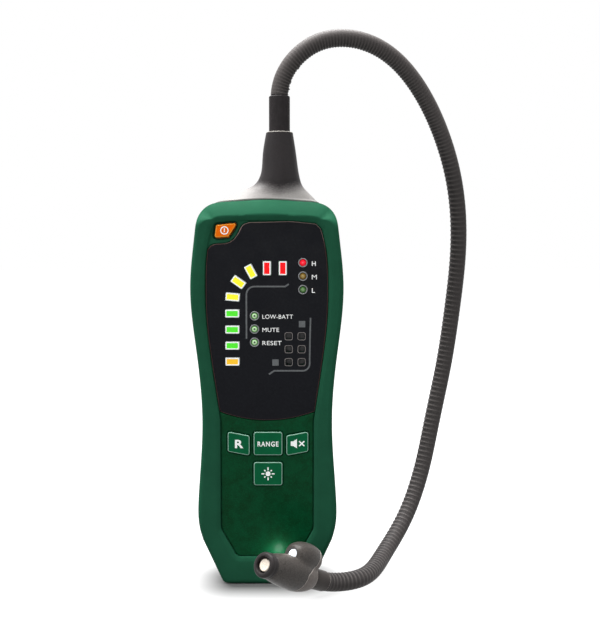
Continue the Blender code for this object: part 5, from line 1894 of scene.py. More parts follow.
    def captions(self) -> None:
        """The plain control words and letters beside the round lamps."""
        y = self.form.face_y
        lamps = self.lamps.lamps()
        for text, node in (("H", "high_lamp"), ("M", "medium_lamp"), ("L", "low_lamp")):
            z = lamps[node][1]
            box = (0.0217, z - 0.00155, 0.0024 if text == "M" else 0.0019 if text == "H" else 0.0015, 0.0022)
            weight = -0.003 if text == "M" else 0.012
            self.letters("letter_" + text.lower(), text, box, y, "instrument", weight)
        words = (("LOW-BATT", "battery_lamp", 0.0148), ("MUTE", "mute_lamp", 0.0081),
                 ("RESET", "reset_lamp", 0.0093))
        for text, node, width in words:
            box = (-0.0022, lamps[node][1] - 0.0014, width, 0.0020)
            self.letters("word_" + node.split("_")[0], text, box, y, "instrument")

    def build(self) -> None:
        """Builds the window, the panel and all that shows in them."""
        self.window()
        self.panel()
        self.bars()
        self.round_lamps()
        self.print_on_window()
        self.captions()


@dataclass
class Keys:
    """The five keys with their signs."""

    form: HousingForm
    layout: KeyLayout
    face: Face
    rise: float = 0.0005
    power_rise: float = 0.0009
    power_ring: Pair = (0.0020, 0.0015)
    power_bar: Pair = (0.00045, 0.0019)
    cross_stroke: float = 0.00062
    sun_radius: float = 0.0012
    ray_start: float = 0.0018
    ray_ends: Pair = (0.0032, 0.0026)
    ray_stroke: float = 0.00060
    bevel: float = 0.00045
    flange: float = 0.0007
    flange_thickness: float = 0.0009

    def cap(self, key: KeyShape, rise: float, looks: tuple[Looks, Looks], slot: str) -> None:
        """One key cap: a paler rounded edge, straight sides and the flange behind the floor. The pale edge
        is a painted highlight on the rounding, and on the green keys a printed outline as well.

        Args:
            key: The key.
            rise: How far its top stands above the face.
            looks: The finishes of the cap and of its rounded edge.
            slot: The record's material slot.
        """
        form = self.form
        top = form.face_y - rise
        shelf = form.bed_inner_y + form.gap
        round_edge = quarter_round(self.bevel, 5)
        solid = Solid()
        rings = [at_depth(inset(key.outline, d), top + drop) for d, drop in round_edge]
        rings.append(at_depth(key.outline, shelf))
        wide = inset(key.outline, -self.flange)
        rings += [at_depth(wide, shelf), at_depth(wide, shelf + self.flange_thickness)]
        solid.add_stack(rings, 4, (0, 1, 0))
        piece = solid.build(key.name + "_cap", *looks)
        settle(piece, key.name, slot, key.name)

    def signs(self, keys: dict[str, KeyShape]) -> None:
        """The white signs: ring and bar, R, RANGE, a crossed-out speaker and a sun.

        Args:
            keys: The keys by name.
        """
        face = self.face
        top = self.form.face_y - self.rise
        face.letters("sign_reset", "R", (-0.0157, 0.0675, 0.0041, 0.0041), top, "reset_key", 0.03)
        x, z = keys["range_key"].centre
        face.letters("sign_range", "RANGE", (x - 0.0051, z - 0.00145, 0.0102, 0.0025), top, "range_key",
                     0.02, 1.2)
        x, z = keys["mute_key"].centre
        half = np.array([(-0.0032, -0.0011), (-0.0020, -0.0011), (-0.0002, -0.0023)])
        speaker = np.concatenate([half, half[::-1] * (1, -1)])
        arms = [np.array([(0.0009, -0.0012 * s), (0.0034, 0.0012 * s)]) for s in (-1, 1)]
        cross = [ribbon(arm, self.cross_stroke) for arm in arms]
        shapes = [outline + np.array((x, z)) for outline in [speaker, *cross]]
        face.stamp("sign_mute", shapes, Looks.PRINT_WHITE_GLOWING, top, "mute_key")
        x, z = keys["light_key"].centre
        shapes = [circle((x, z), self.sun_radius, 28)]
        for i in range(8):
            a = i * math.pi / 4
            along = np.array((math.cos(a), math.sin(a)))
            ray = np.array([along * self.ray_start, along * self.ray_ends[i % 2]]) + np.array((x, z))
            shapes.append(ribbon(ray, self.ray_stroke))
        face.stamp("sign_light", shapes, Looks.PRINT_WHITE_GLOWING, top, "light_key")
        self.power_sign(keys["power_key"])

    def power_sign(self, key: KeyShape) -> None:
        """A white ring round an upright bar, the usual sign for switching on.

        Args:
            key: The power key.
        """
        y = self.form.face_y - self.power_rise
        x, z = key.centre[0] + 0.0002, key.centre[1] + 0.0001
        depths = (y - self.face.print_height, y + self.face.print_sink)
        solid = Solid()
        outer, inner = (circle((x, z), radius, 40) for radius in self.power_ring)
        solid.add_plate([Loop(outer, (0.0, 0.0)), Loop(inner, (0.0, 0.0))], depths)
        bar = rectangle((x, z + 0.0001), self.power_bar, 0.0001)
        solid.add_plate([Loop(bar, (0.0, 0.0))], depths)
        settle(solid.build("sign_power", Looks.PRINT_WHITE_GLOWING), "power_key", "white_lens")

    def build(self) -> None:
        """Builds the caps and their signs."""
        keys = self.layout.keys()
        for name, key in keys.items():
            if name == "power_key":
                self.cap(key, self.power_rise, (Looks.POWER, Looks.POWER_EDGE_HIGHLIGHT), "orange_key")
            else:
                self.cap(key, self.rise, (Looks.KEY, Looks.KEY_EDGE_PRINT_AND_HIGHLIGHT), "green_key")
        self.signs(keys)


@dataclass
class Neck:
    """The moulded neck on the crown and the sleeve that holds the gooseneck in it."""

    form: HousingForm
    x: float = 0.0058
    foot: tuple[float, float, float] = (-0.0263, 0.0256, 0.0135)
    edge: float = 0.0008
    sections: tuple[tuple[float, float, float, float], ...] = (
        (0.0011, -0.0213, 0.0232, 0.0125), (0.0033, -0.0161, 0.0210, 0.0116),
        (0.0058, -0.0108, 0.0186, 0.0109), (0.0084, -0.0063, 0.0168, 0.0104),
        (0.0113, -0.0043, 0.0159, 0.0101), (0.0223, -0.0026, 0.0142, 0.0084),
        (0.0332, -0.0009, 0.0125, 0.0067),
    )
    rim: float = 0.0007
    collar_radius: float = 0.0052
    collar_height: float = 0.0177
    socket_depth: float = 0.0060
    core: float = 0.0037
    spigot: float = 0.0080
    sides: int = 72
    rise: float = 0.0340

    @property
    def top(self) -> float:
        """Height of the neck's top."""
        return self.form.height + self.rise

    @property
    def collar_bottom(self) -> float:
        """Height of the collar's foot, down in its socket."""
        return self.top - self.socket_depth

    @property
    def collar_top(self) -> float:
        """Height of the collar's top."""
        return self.top + self.collar_height

    def ring(self, left: float, right: float, depth: float, height: float | np.ndarray) -> np.ndarray:
        """An oval between a left and a right edge: x by the cosine of the angle, y by its sine.

        Args:
            left: X of its left edge.
            right: X of its right edge.
            depth: Half its size along Y.
            height: Its height, one for all points or one for each.

        Returns:
            The points.
        """
        angles = full_turn(self.sides)
        x = (left + right) / 2 + (right - left) / 2 * np.cos(angles)
        return np.stack([x, depth * np.sin(angles), np.broadcast_to(height, self.sides)], axis=1)

    def cone(self) -> None:
        """The neck: a saddle on the crown, a cubic flare through the sections and a rounded rim."""
        form = self.form
        left, right, depth = self.foot
        saddle = self.ring(left, right, depth, 0.0)
        saddle[:, 2] = form.crown_height(saddle[:, 0]) + form.gap
        lip = saddle + np.array((0, 0, self.edge * 0.7))
        flare = natural_spline(np.array([(h, a, b, d) for h, a, b, d in self.sections]), 8)
        rings = [self.ring(a, b, d, form.height + h) for h, a, b, d in flare]
        start = rings[0]
        t = np.linspace(0, 1, 6)[1:-1, None, None]
        bridge = lip + (start - lip) * t
        bridge[:, :, 2] -= 0.0003 * np.sin(math.pi * t[:, :, 0])
        inner = lip.copy()
        inner[:, :2] *= 0.990
        inner[:, 2] += self.edge * 0.3
        end_left, end_right, end_depth = self.sections[-1][1:]
        top_rings = []
        for shift, drop in reversed(quarter_round(self.rim, 5)):
            top_rings.append(self.ring(end_left + shift, end_right - shift, end_depth - shift,
                                       self.top - drop))
        bore = self.collar_radius + form.gap
        x = self.x
        wall = [self.ring(x - bore, x + bore, bore, z) for z in (self.top, self.collar_bottom - form.gap)]
        solid = Solid()
        rows = solid.add_points(np.stack([saddle, lip, inner, *bridge, *rings, *top_rings, *wall]))
        solid.add_bands(rows)
        solid.add_faces(rows[-1:, ::-1])
        half = self.sides // 2
        i = np.arange(half)
        first = rows[0]
        strip = np.stack([first[i], first[i + 1], first[-i - 1], first[-i % self.sides]], axis=1)
        solid.add_faces(strip[1:-1])
        solid.add_faces(np.array([[first[0], first[1], first[-1]]]))
        solid.add_faces(np.array([[first[half - 1], first[half], first[half + 1]]]))
        low = form.height - 0.0052
        plug = Solid()
        plug.add_turned([(0, low), (self.spigot, low), (self.spigot, form.height + 0.006),
                         (0, form.height + 0.006)], 40)
        plug_points = plug.points[0] + np.array((self.x, 0, 0))
        numbers = solid.add_points(plug_points)
        solid.add_bands(numbers.reshape(4, -1))
        piece = solid.build("neck_flare", Looks.NECK)
        settle(piece, "instrument", "grey_plastic", "neck_cone")

    def collar(self) -> None:
        """The sleeve: straight sides, a rounded top edge and a shallow waist line near its foot."""
        bore = self.core + self.form.gap
        r, low, top = self.collar_radius, self.collar_bottom, self.collar_top
        profile = [(bore, low), (r, low), (r, top - 0.0009)]
        profile += [(r - d, top - drop) for d, drop in reversed(quarter_round(0.0008, 6))]
        profile += [(0.00475, top - 0.0002), (bore, top - 0.0005), (bore, low)]
        solid = Solid()
        solid.add_turned(profile, 56)
        piece = solid.build("neck_sleeve", Looks.COLLAR)
        move_mesh(piece, Matrix.Translation(Vector((self.x, 0, 0))))
        settle(piece, "instrument", "black_rubber", "base_collar")

    def build(self) -> None:
        """Builds the neck and its sleeve."""
        self.cone()
        self.collar()


@dataclass
class SensorHead:
    """The sensor head: barrel and lamp turret run into each other, split along a stepped seam."""

    form: HousingForm
    tip: tuple[float, float, float] = (-0.0002, -0.0729, 0.0276)
    direction: tuple[float, float, float] = (-0.585, -0.700, 0.410)
    cap_length: float = 0.0040
    cap_radius: float = 0.00567
    cap_hole: float = 0.0035
    cap_rim: float = 0.0014
    sensor_radius: float = 0.0028
    sensor_depth: float = 0.0011
    sensor_length: float = 0.0110
    barrel: tuple[Pair, ...] = (
        (0.0000, 0.0054), (0.0030, 0.0061), (0.0080, 0.0069), (0.0140, 0.0076), (0.0195, 0.0079),
        (0.0240, 0.0075), (0.0272, 0.0068), (0.0290, 0.0062),
    )
    turret_start: float = 0.0178
    turret_offset: float = 0.0079
    turret: tuple[Pair, ...] = (
        (0.0000, 0.0033), (0.0006, 0.0043), (0.0020, 0.0054), (0.0050, 0.0063), (0.0100, 0.0067),
        (0.0142, 0.0062), (0.0173, 0.0048), (0.0188, 0.0024), (0.0192, 0.0000),
    )
    seam: tuple[Pair, ...] = ((-0.0120, 0.0225), (0.0010, 0.0240), (0.0060, 0.0300), (0.0170, 0.0345))
    blend: float = 0.0016
    middle: float = 0.0056
    led_radius: float = 0.0024
    led_length: float = 0.0090
    ferrule_length: float = 0.0125
    ferrule_radius: float = 0.0051
    ferrule_end: float = 0.0047
    core: float = 0.0037
    sides: int = 112

    @property
    def barrel_start(self) -> float:
        """How far behind the tip the barrel starts."""
        return self.cap_length + self.form.gap

    @property
    def barrel_end(self) -> float:
        """How far behind the tip the barrel ends."""
        return self.barrel_start + self.barrel[-1][0]

    @property
    def ferrule_start(self) -> float:
        """How far behind the tip the ferrule starts."""
        return self.barrel_end + self.form.gap

    def axis(self) -> Vector:
        """The head's forward direction."""
        return Vector(self.direction).normalized()

    def point(self, back: float) -> np.ndarray:
        """A point on the head's axis, a length behind the tip."""
        return np.array(Vector(self.tip) - self.axis() * back)

    def matrix(self, back: float = 0.0, lift: float = 0.0) -> Matrix:
        """The head's own frame: Z towards the tip, Y up the side with the lamp.

        Args:
            back: How far behind the tip it sits.
            lift: How far above the axis it sits.

        Returns:
            The frame as a matrix.
        """
        forward = self.axis()
        up = (Vector((0, 0, 1)) - forward * forward.z).normalized()
        turn = Matrix((up.cross(forward), up, forward)).transposed()
        place = Vector(self.point(back)) + turn @ Vector((0, lift, 0))
        return Matrix.Translation(place) @ turn.to_4x4()

    def radius_along(self, sections: tuple[Pair, ...], start: float, stations: np.ndarray) -> np.ndarray:
        """The radius of one of the two round bodies, from a cubic through its sections.

        Args:
            sections: Length from the body's start, and radius.
            start: How far behind the tip the body starts.
            stations: Lengths behind the tip.

        Returns:
            The radius at each station, and minus one beyond the body's ends.
        """
        curve = natural_spline(np.array(sections), 16)
        length = stations - start
        radius = np.interp(length, curve[:, 0], curve[:, 1])
        outside = (length < -1e-9) | (length > sections[-1][0] + 1e-9)
        return np.where(outside, -1.0, radius)

    def skin(self) -> np.ndarray:
        """The head's outside as rows of points across its axis.

        At each station two circles, the barrel's and the turret's, are joined by a smooth minimum
        of their distances: h = max(k - |a - b|, 0) / k, and min(a, b) - h^2 k / 4. The radius where
        that is zero is found along each ray by halving the range forty times.

        Returns:
            The points in the head's frame, station by station, with poles at both ends.
        """
        start, end = self.barrel_start, self.barrel_end
        t0, t1 = self.turret_start, self.turret_start + self.turret[-1][0]
        ease = (1 - np.cos(np.linspace(0, math.pi / 2, 12))) * 0.0022
        tail = t1 - (1 - np.sin(np.linspace(0, math.pi / 2, 14))) * (t1 - end)
        parts = [np.linspace(start, t0, 30), t0 + ease, np.linspace(t0 + 0.0026, end, 40), tail]
        stations = np.concatenate(parts)
        has_turret = np.concatenate([np.zeros(30, bool), np.ones(12 + 40 + 14, bool)])
        has_barrel = np.concatenate([np.ones(30 + 12 + 40, bool), np.zeros(14, bool)])
        big = self.radius_along(self.barrel, start, np.clip(stations, start, end))
        front = np.clip((stations - start) / 0.0006, 0, 1)
        big = big - 0.0006 * (1 - np.sqrt(1 - (1 - front) ** 2))
        small = self.radius_along(self.turret, t0, np.clip(stations, t0, t1))
        big = np.where(has_barrel, big, -0.02)
        small = np.where(has_turret, small, -0.02)
        rise = np.clip((stations - start) / (t0 - start), 0, 1)
        centre = self.middle * rise * rise * (3 - 2 * rise)
        drift = np.clip((stations - end) / (t1 - end), 0, 1)
        centre = centre + (self.turret_offset - self.middle) * drift
        angles = full_turn(self.sides)
        cos, sin = np.cos(angles)[None], np.sin(angles)[None]
        low = np.zeros((len(stations), self.sides))
        high = np.full_like(low, 0.020)
        for _ in range(40):
            reach = (low + high) / 2
            x, y = reach * cos, centre[:, None] + reach * sin
            a = np.hypot(x, y) - big[:, None]
            b = np.hypot(x, y - self.turret_offset) - small[:, None]
            near = np.clip(self.blend - np.abs(a - b), 0, None) / self.blend
            inside = np.minimum(a, b) - near ** 2 * self.blend / 4 < 0
            low = np.where(inside, reach, low)
            high = np.where(inside, high, reach)
        reach = np.concatenate([low[:1] * 0, low, low[-1:] * 0])
        stations = np.concatenate([stations[:1], stations, stations[-1:]])
        centre = np.concatenate([centre[:1], centre, centre[-1:]])
        x, y = reach * cos, centre[:, None] + reach * sin
        return np.stack([x, y, np.broadcast_to(-stations[:, None], x.shape)], axis=-1)

    def seam_block(self, front: bool) -> Solid:
        """A block in front of or behind the seam, which steps back over the turret.

        Args:
            front: Whether it fills the space in front of the seam.

        Returns:
            The block, in the head's frame.
        """
        shift = self.form.gap / 2 * (-1 if front else 1)
        far = 0.075 if front else -0.075
        line = [(lift, -(back - shift)) for lift, back in self.seam]
        outline = np.array([*line, (line[-1][0], far), (line[0][0], far)])
        solid = Solid()
        solid.add_grid(np.stack([np.column_stack([np.full(len(outline), x), outline])
                                 for x in (-0.024, 0.024)]))
        return solid

    def rod(self, radius: float, start: float, end: float, lift: float = 0.0) -> Solid:
        """A round rod along the head's axis, from one length behind the tip to another.

        Args:
            radius: Its radius.
            start: Where it starts.
            end: Where it ends.
            lift: Its height over the sensor's axis.

        Returns:
            The solid.
        """
        solid = Solid()
        ring = circle((0.0, lift), radius, 40)
        solid.add_grid(np.stack([np.column_stack([ring, np.full(len(ring), -b)]) for b in (start, end)]))
        return solid

    def mark_joints(self, mesh: bpy.types.Mesh, rear: bool) -> None:
        """Writes each vertex's share: one less its distance from the nearest joint over 0.6 mm.

        The seam is a chain of lines in the plane of lift and length. The nearest point of each
        line is at the share (p - a).(b - a) / |b - a|^2 of its length, held between 0 and 1.

        Args:
            mesh: A half of the head, in the head's frame.
            rear: Whether the end at the ferrule counts as a joint too.
        """
        points = points_of(mesh)
        lift, back = points[:, 1], -points[:, 2]
        points = np.stack([lift, back], axis=1)[:, None]
        line = np.array(self.seam)
        start, run = line[:-1], np.diff(line, axis=0)
        t = np.clip(((points - start) * run).sum(axis=2) / (run ** 2).sum(axis=1), 0, 1)
        away = np.linalg.norm(points - start - t[:, :, None] * run, axis=2).min(axis=1)
        if rear:
            low = lift < self.turret_offset * 0.6
            away = np.where(low, np.minimum(away, np.abs(back - self.barrel_end)), away)
        share = mesh.attributes.get("share") or mesh.attributes.new("share", "FLOAT", "POINT")
        share.data.foreach_set("value", np.clip(1 - away / 0.0006, 0, 1))

    def shell(self, front: bool) -> None:
        """One half of the head, cut along the seam, with its bores and a softened seam edge.

        Args:
            front: Whether it is the front half.
        """
        gap = self.form.gap
        body = Solid()
        body.add_grid(self.skin(), caps=False)
        cuts = [("DIFFERENCE", self.seam_block(not front))]
        if front:
            depth = self.sensor_depth + self.sensor_length + gap
            cuts.append(("DIFFERENCE", self.rod(self.sensor_radius + gap, self.barrel_start - 0.002, depth)))
            led_end = self.turret_start + self.led_length + gap
            led = self.rod(self.led_radius + gap, self.turret_start - 0.002, led_end, self.turret_offset)
            cuts.append(("DIFFERENCE", led))
        else:
            end = self.barrel_end + self.ferrule_length
            cuts.append(("DIFFERENCE", self.rod(self.ferrule_radius + gap, self.barrel_end, end)))
        name = "head_front" if front else "head_rear"
        piece = carve(name, body, cuts, Looks.HEAD if front else Looks.HEAD_REAR, sharp=34.0)
        soft = piece.modifiers.new("soft_seam", "BEVEL")
        soft.width = 0.00036
        soft.segments = 3
        soft.limit_method = "ANGLE"
        soft.angle_limit = math.radians(50)
        piece.modifiers.move(1, 0)
        self.mark_joints(piece.data, not front)
        move_mesh(piece, self.matrix())
        settle(piece, "instrument", "head_plastic", name + "_shell")

    def cap(self) -> None:
        """The ring-shaped cap over the sensor, with rounded edges and two fine grip lines."""
        r, hole, rim, length = self.cap_radius, self.cap_hole, self.cap_rim, self.cap_length
        bore = self.sensor_radius + self.form.gap
        profile = [(hole, -rim)]
        lip = [(hole + 0.00045 * (1 - math.cos(a)), -0.0009 + 0.0009 * math.sin(a))
               for a in np.linspace(0, 1.57, 6)]
        profile += lip
        profile += [(r - rim * (1 - math.sin(a)), -rim * (1 - math.cos(a)))
                    for a in np.linspace(0, 1.5708, 7)]
        profile += [(r, -0.0026), (r - 0.00018, -0.0028), (r, -0.0030), (r, -length)]
        profile += [(bore, -length), (bore, -length / 2), (hole, -length / 2), (hole, -rim)]
        solid = Solid()
        solid.add_turned(profile, 64)
        piece = move_mesh(solid.build("sensor_cap_ring", Looks.CAP), self.matrix())
        settle(piece, "sensor_cap", "black_rubber", "sensor_cap")

    def sensor(self) -> None:
        """The porous sensor face inside the cap."""
        r = self.sensor_radius
        profile = [(0.0, -self.sensor_length), (r, -self.sensor_length), (r, -0.0003)]
        profile += [(r - 0.0003, 0.0), (r * 0.6, -0.00004), (r * 0.3, -0.00010), (0.0, -0.00014)]
        solid = Solid()
        solid.add_turned(profile, 48)
        piece = move_mesh(solid.build("sensor_face", Looks.SENSOR), self.matrix(self.sensor_depth))
        settle(piece, "instrument", "sensor_mesh", "sensor")

    def led(self) -> None:
        """The white lamp in the turret."""
        r, rise = self.led_radius, 0.0006
        profile = [(0.0, -self.led_length), (r, -self.led_length)]
        profile += [(r * math.cos(a), rise - r + r * math.sin(a)) for a in np.linspace(0, math.pi / 2, 12)]
        solid = Solid()
        solid.add_turned(profile, 40)
        matrix = self.matrix(self.turret_start, self.turret_offset)
        piece = move_mesh(solid.build("head_led", Looks.WHITE_LED), matrix)
        settle(piece, "instrument", "white_lens", "head_lamp")

    def ferrule(self) -> None:
        """The tapered ferrule, with a rolled rim at the head and a rounded end at the gooseneck, whose
        paler finish is a painted highlight.
        """
        bore = self.core + self.form.gap
        r, end, length = self.ferrule_radius, self.ferrule_end, self.ferrule_length
        profile = [(bore, 0.0), (r - 0.0003, 0.0), (r, -0.0003), (r, -0.0011), (r - 0.00025, -0.0014)]
        profile += [(end + 0.00005, -length + 0.0006)]
        # The rounded end wears the paler finish: a painted highlight.
        rim = [profile[-1], (end - 0.00015, -length + 0.00015), (end - 0.0004, -length), (bore, -length)]
        solid = Solid()
        solid.add_turned(profile, 56)
        solid.add_turned(rim, 56, 0.0, 1)
        solid.add_turned([(bore, -length), (bore, 0.0)], 56)
        piece = solid.build("head_ferrule", Looks.FERRULE, Looks.HEAD_EDGE_HIGHLIGHT)
        piece = move_mesh(piece, self.matrix(self.ferrule_start))
        settle(piece, "instrument", "black_rubber", "tip_ferrule")

    def build(self) -> None:
        """Builds the head and all that it holds."""
        self.shell(True)
        self.shell(False)
        self.cap()
        self.sensor()
        self.led()
        self.ferrule()


@dataclass
class Gooseneck:
    """The ribbed flexible tube between the neck and the sensor head."""

    form: HousingForm
    neck: Neck
    head: SensorHead
    radius: float = 0.00440
    packed_radius: float = 0.0045
    core: float = 0.0037
    groove: float = 0.00026
    pitches: tuple[Pair, ...] = ((0.0, 0.0016), (0.28, 0.0017), (0.36, 0.00257), (0.80, 0.00257),
                                 (1.0, 0.0023))
    arch_relief: float = 0.12
    straight_relief: float = 0.20
    # Share of the painted ridge highlight kept on the outer side past the arch; the rest is painted shade.
    straight_outer_highlight: float = 0.50
    nibs: tuple[Pair, ...] = ((0.0038, 0.00045), (0.0080, 0.00040), (0.0175, 0.00035))
    rows_per_pitch: int = 10
    sides: int = 32
    plan: tuple[Pair, ...] = (
        (0.0074, 0.0000), (0.0150, 0.0000), (0.0264, 0.0020), (0.0419, 0.0050), (0.0600, 0.0110),
        (0.0765, 0.0190), (0.0897, 0.0270), (0.0987, 0.0350), (0.1020, 0.0410), (0.0998, 0.0445),
        (0.0954, 0.0445), (0.0887, 0.0415), (0.0826, 0.0365), (0.0724, 0.0245), (0.0587, 0.0025),
        (0.0432, -0.0272),
    )
    shares: tuple[float, ...] = (
        1.0344, 1.0829, 1.1148, 1.1229, 1.0978, 1.0328, 0.9366, 0.8231,
        0.6869, 0.5470, 0.4130, 0.2778, 0.1684, 0.0693, 0.0094, 0.0000,
    )

    def route(self) -> tuple[np.ndarray, np.ndarray]:
        """The tube's middle line: a natural cubic from the collar's socket round to the head.

        Returns:
            The line's points, and the length along it at each.
        """
        neck, head, gap = self.neck, self.head, self.form.gap
        start = [(neck.x, 0.0, z) for z in np.linspace(neck.collar_bottom + gap, neck.collar_top, 4)]
        lowest = self.packed_radius + gap
        heights = lowest + np.array(self.shares) * (neck.collar_top - lowest)
        middle = np.column_stack([np.array(self.plan), heights])
        far = head.ferrule_start + head.ferrule_length
        end = [head.point(back) for back in np.linspace(far, head.ferrule_start + gap, 4)]
        line = natural_spline(np.concatenate([start, middle, end]), 24)
        steps = np.linalg.norm(np.diff(line, axis=0), axis=1)
        return line, np.concatenate([[0.0], np.cumsum(steps)])

    def build(self) -> None:
        """Carries the ribbed profile along the line.

        The number of ribs up to a length is the sum of the steps over the pitch there, which is
        finer over the arch. The ridge is e to the -(d / 0.18)^2, with d the distance of that
        number's fraction from a half, so that ridges are narrow and the dips between them broad.
        Each ring stands square to the line, its first direction being +Y made square to it. The
        dips are shallower away from the loop's inner side, where half of one less the sine of the
        ring's angle is 1, and most so over the arch. The paler ridges are a painted highlight, and
        past the arch their colour is halved there, a painted shade that keeps the ridge highlights
        to the loop's inner side. Near the sleeve three worn ribs stand proud on that side by their
        own height times e to the -(distance / 0.6 mm)^2.
        """
        line, lengths = self.route()
        gap = self.form.gap
        first = self.neck.collar_top - self.neck.collar_bottom
        last = lengths[-1] - (self.head.ferrule_length - gap) - gap
        fine = np.linspace(first, last, 4000)
        pitch = np.interp(np.linspace(0, 1, 4000), *zip(*self.pitches))
        count = np.concatenate([[0.0], np.cumsum(np.diff(fine) / ((pitch[1:] + pitch[:-1]) / 2))])
        ribs = int(count[-1])
        turns = np.linspace(0, ribs, ribs * self.rows_per_pitch + 1)
        s = np.interp(turns, count * ribs / count[-1], fine)
        share = np.exp(-((turns % 1.0 - 0.5) / 0.18) ** 2)
        bend = (first, first + (last - first) * 0.28, first + (last - first) * 0.36)
        relief = np.interp(s, bend, (self.arch_relief, self.arch_relief, self.straight_relief))
        outer_highlight = np.interp(s, bend, (1.0, 1.0, self.straight_outer_highlight))[:, None]
        angles = full_turn(self.sides)
        inward = (1 - np.sin(angles)) / 2
        depth = relief[:, None] + (1 - relief[:, None]) * inward ** 1.6
        radius = self.radius - self.groove * depth * (1 - share)[:, None]
        for place, height in self.nibs:
            radius += height * np.exp(-(((s - first - place) / 0.0006) ** 2))[:, None] * inward ** 16
        # Colour share: a painted highlight on the ridges, halved on the outer side past the arch as painted
        # shade.
        share = (1 - depth * (1 - share)[:, None]) * (outer_highlight + (1 - outer_highlight) * inward)
        s = np.concatenate([[0.0, first], s, [last, lengths[-1]]])
        ends = np.full((2, self.sides), self.core)
        radius = np.concatenate([ends, radius, ends])
        share = np.concatenate([ends * 0, share, ends * 0])
        centre = np.stack([np.interp(s, lengths, line[:, k]) for k in range(3)], axis=1)
        probe = self.pitches[-1][1] / 2
        ahead = np.stack([np.interp(s + probe, lengths, line[:, k]) for k in range(3)], axis=1)
        behind = np.stack([np.interp(s - probe, lengths, line[:, k]) for k in range(3)], axis=1)
        along = ahead - behind
        along /= np.linalg.norm(along, axis=1)[:, None]
        side = np.array((0.0, 1.0, 0.0)) - along * along[:, 1:2]
        side /= np.linalg.norm(side, axis=1)[:, None]
        other = np.cross(along, side)
        spoke = side[:, None] * np.cos(angles)[:, None] + other[:, None] * np.sin(angles)[:, None]
        grid = centre[:, None] + spoke * radius[:, :, None]
        solid = Solid()
        solid.add_grid(grid, share)
        piece = solid.build("gooseneck_tube", Looks.TUBE, sharp=60.0)
        piece.modifiers.clear()
        settle(piece, "instrument", "black_rubber", "gooseneck")


@dataclass
class Inside:
    """What shows once the battery door is open, and what the closed case hides."""

    form: HousingForm
    case: Case
    frame: dict

    def cells(self) -> None:
        """The four cells: a wrapped can with a rolled end, a band at one end and a nub."""
        r = self.case.cell_radius
        can = self.case.cell_length - 0.0010
        for name in ("cell_lower_left", "cell_upper_left", "cell_lower_right", "cell_upper_right"):
            low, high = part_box(name)
            x = (low.x + high.x) / 2
            profile = [(0.0, 0.0), (r - 0.0008, 0.0), (r - 0.0002, 0.0002), (r, 0.0007), (r, can * 0.72)]
            band = [(r, can * 0.72), (r, can - 0.0006), (r - 0.0002, can - 0.0001), (r - 0.0008, can)]
            end = [(r - 0.0008, can), (0.0027, can - 0.0001), (0.0027, can + 0.0007),
                   (0.0023, can + 0.0010), (0.0, can + 0.0010)]
            solid = Solid()
            for finish, part in enumerate((profile, band, end)):
                solid.add_turned(part, 48, 0.0, finish)
            battery = name.replace("cell", "battery")
            piece = solid.build(battery, Looks.CELL_SKIN, Looks.CELL_BAND, Looks.STEEL)
            if name.endswith("left"):
                matrix = Matrix.Translation(Vector((x, self.case.cell_y, low.z)))
            else:
                turned = Matrix.Rotation(math.pi, 4, "X")
                matrix = Matrix.Translation(Vector((x, self.case.cell_y, high.z))) @ turned
            move_mesh(piece, matrix)
            settle(piece, "instrument", "cell_wrap", name)

    def springs(self) -> None:
        """The two contact springs: a round wire carried along a helix.

        A point at turn angle a and wire angle b stands at the coil's radius plus the wire's times
        cos b outwards, and rises evenly with a plus the wire's radius times sin b.
        """
        for name in ("contact_spring_left", "contact_spring_right"):
            low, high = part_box(name)
            wire, coil = 0.0004, 0.0034
            a = np.linspace(0, 2.5 * 2 * math.pi, 110)[:, None]
            b = full_turn(10)[None]
            reach = coil + wire * np.cos(b)
            rise = wire + (high.z - low.z - 2 * wire) * a / a[-1] + wire * np.sin(b) * 0.98
            x = (low.x + high.x) / 2
            grid = np.stack([x + reach * np.cos(a), self.case.cell_y + reach * np.sin(a), low.z + rise],
                            axis=-1)
            solid = Solid()
            solid.add_grid(grid)
            piece = solid.build(name.replace("contact_spring", "coil"), Looks.STEEL, sharp=60.0)
            settle(piece, "instrument", "spring_steel", name)

    def carried_over(self) -> None:
        """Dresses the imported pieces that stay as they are: contacts, board, switches and sounder."""
        looks = {
            "contact_plate_left": Looks.STEEL,
            "contact_plate_right": Looks.STEEL,
            "contact_bridge": Looks.STEEL,
            "circuit_board": Looks.BOARD,
            "sounder": Looks.PART,
        }
        looks |= {name + "_switch": Looks.PART for name in ("power", "reset", "range", "mute", "light")}
        for name, look in looks.items():
            node = self.frame["nodes"][name]
            node.data.materials.clear()
            node.data.materials.append(look.material())
            LOG.info("%s: carried over", name)

    def build(self) -> None:
        """Builds the cells and springs, and dresses the rest."""
        self.cells()
        self.springs()
        self.carried_over()


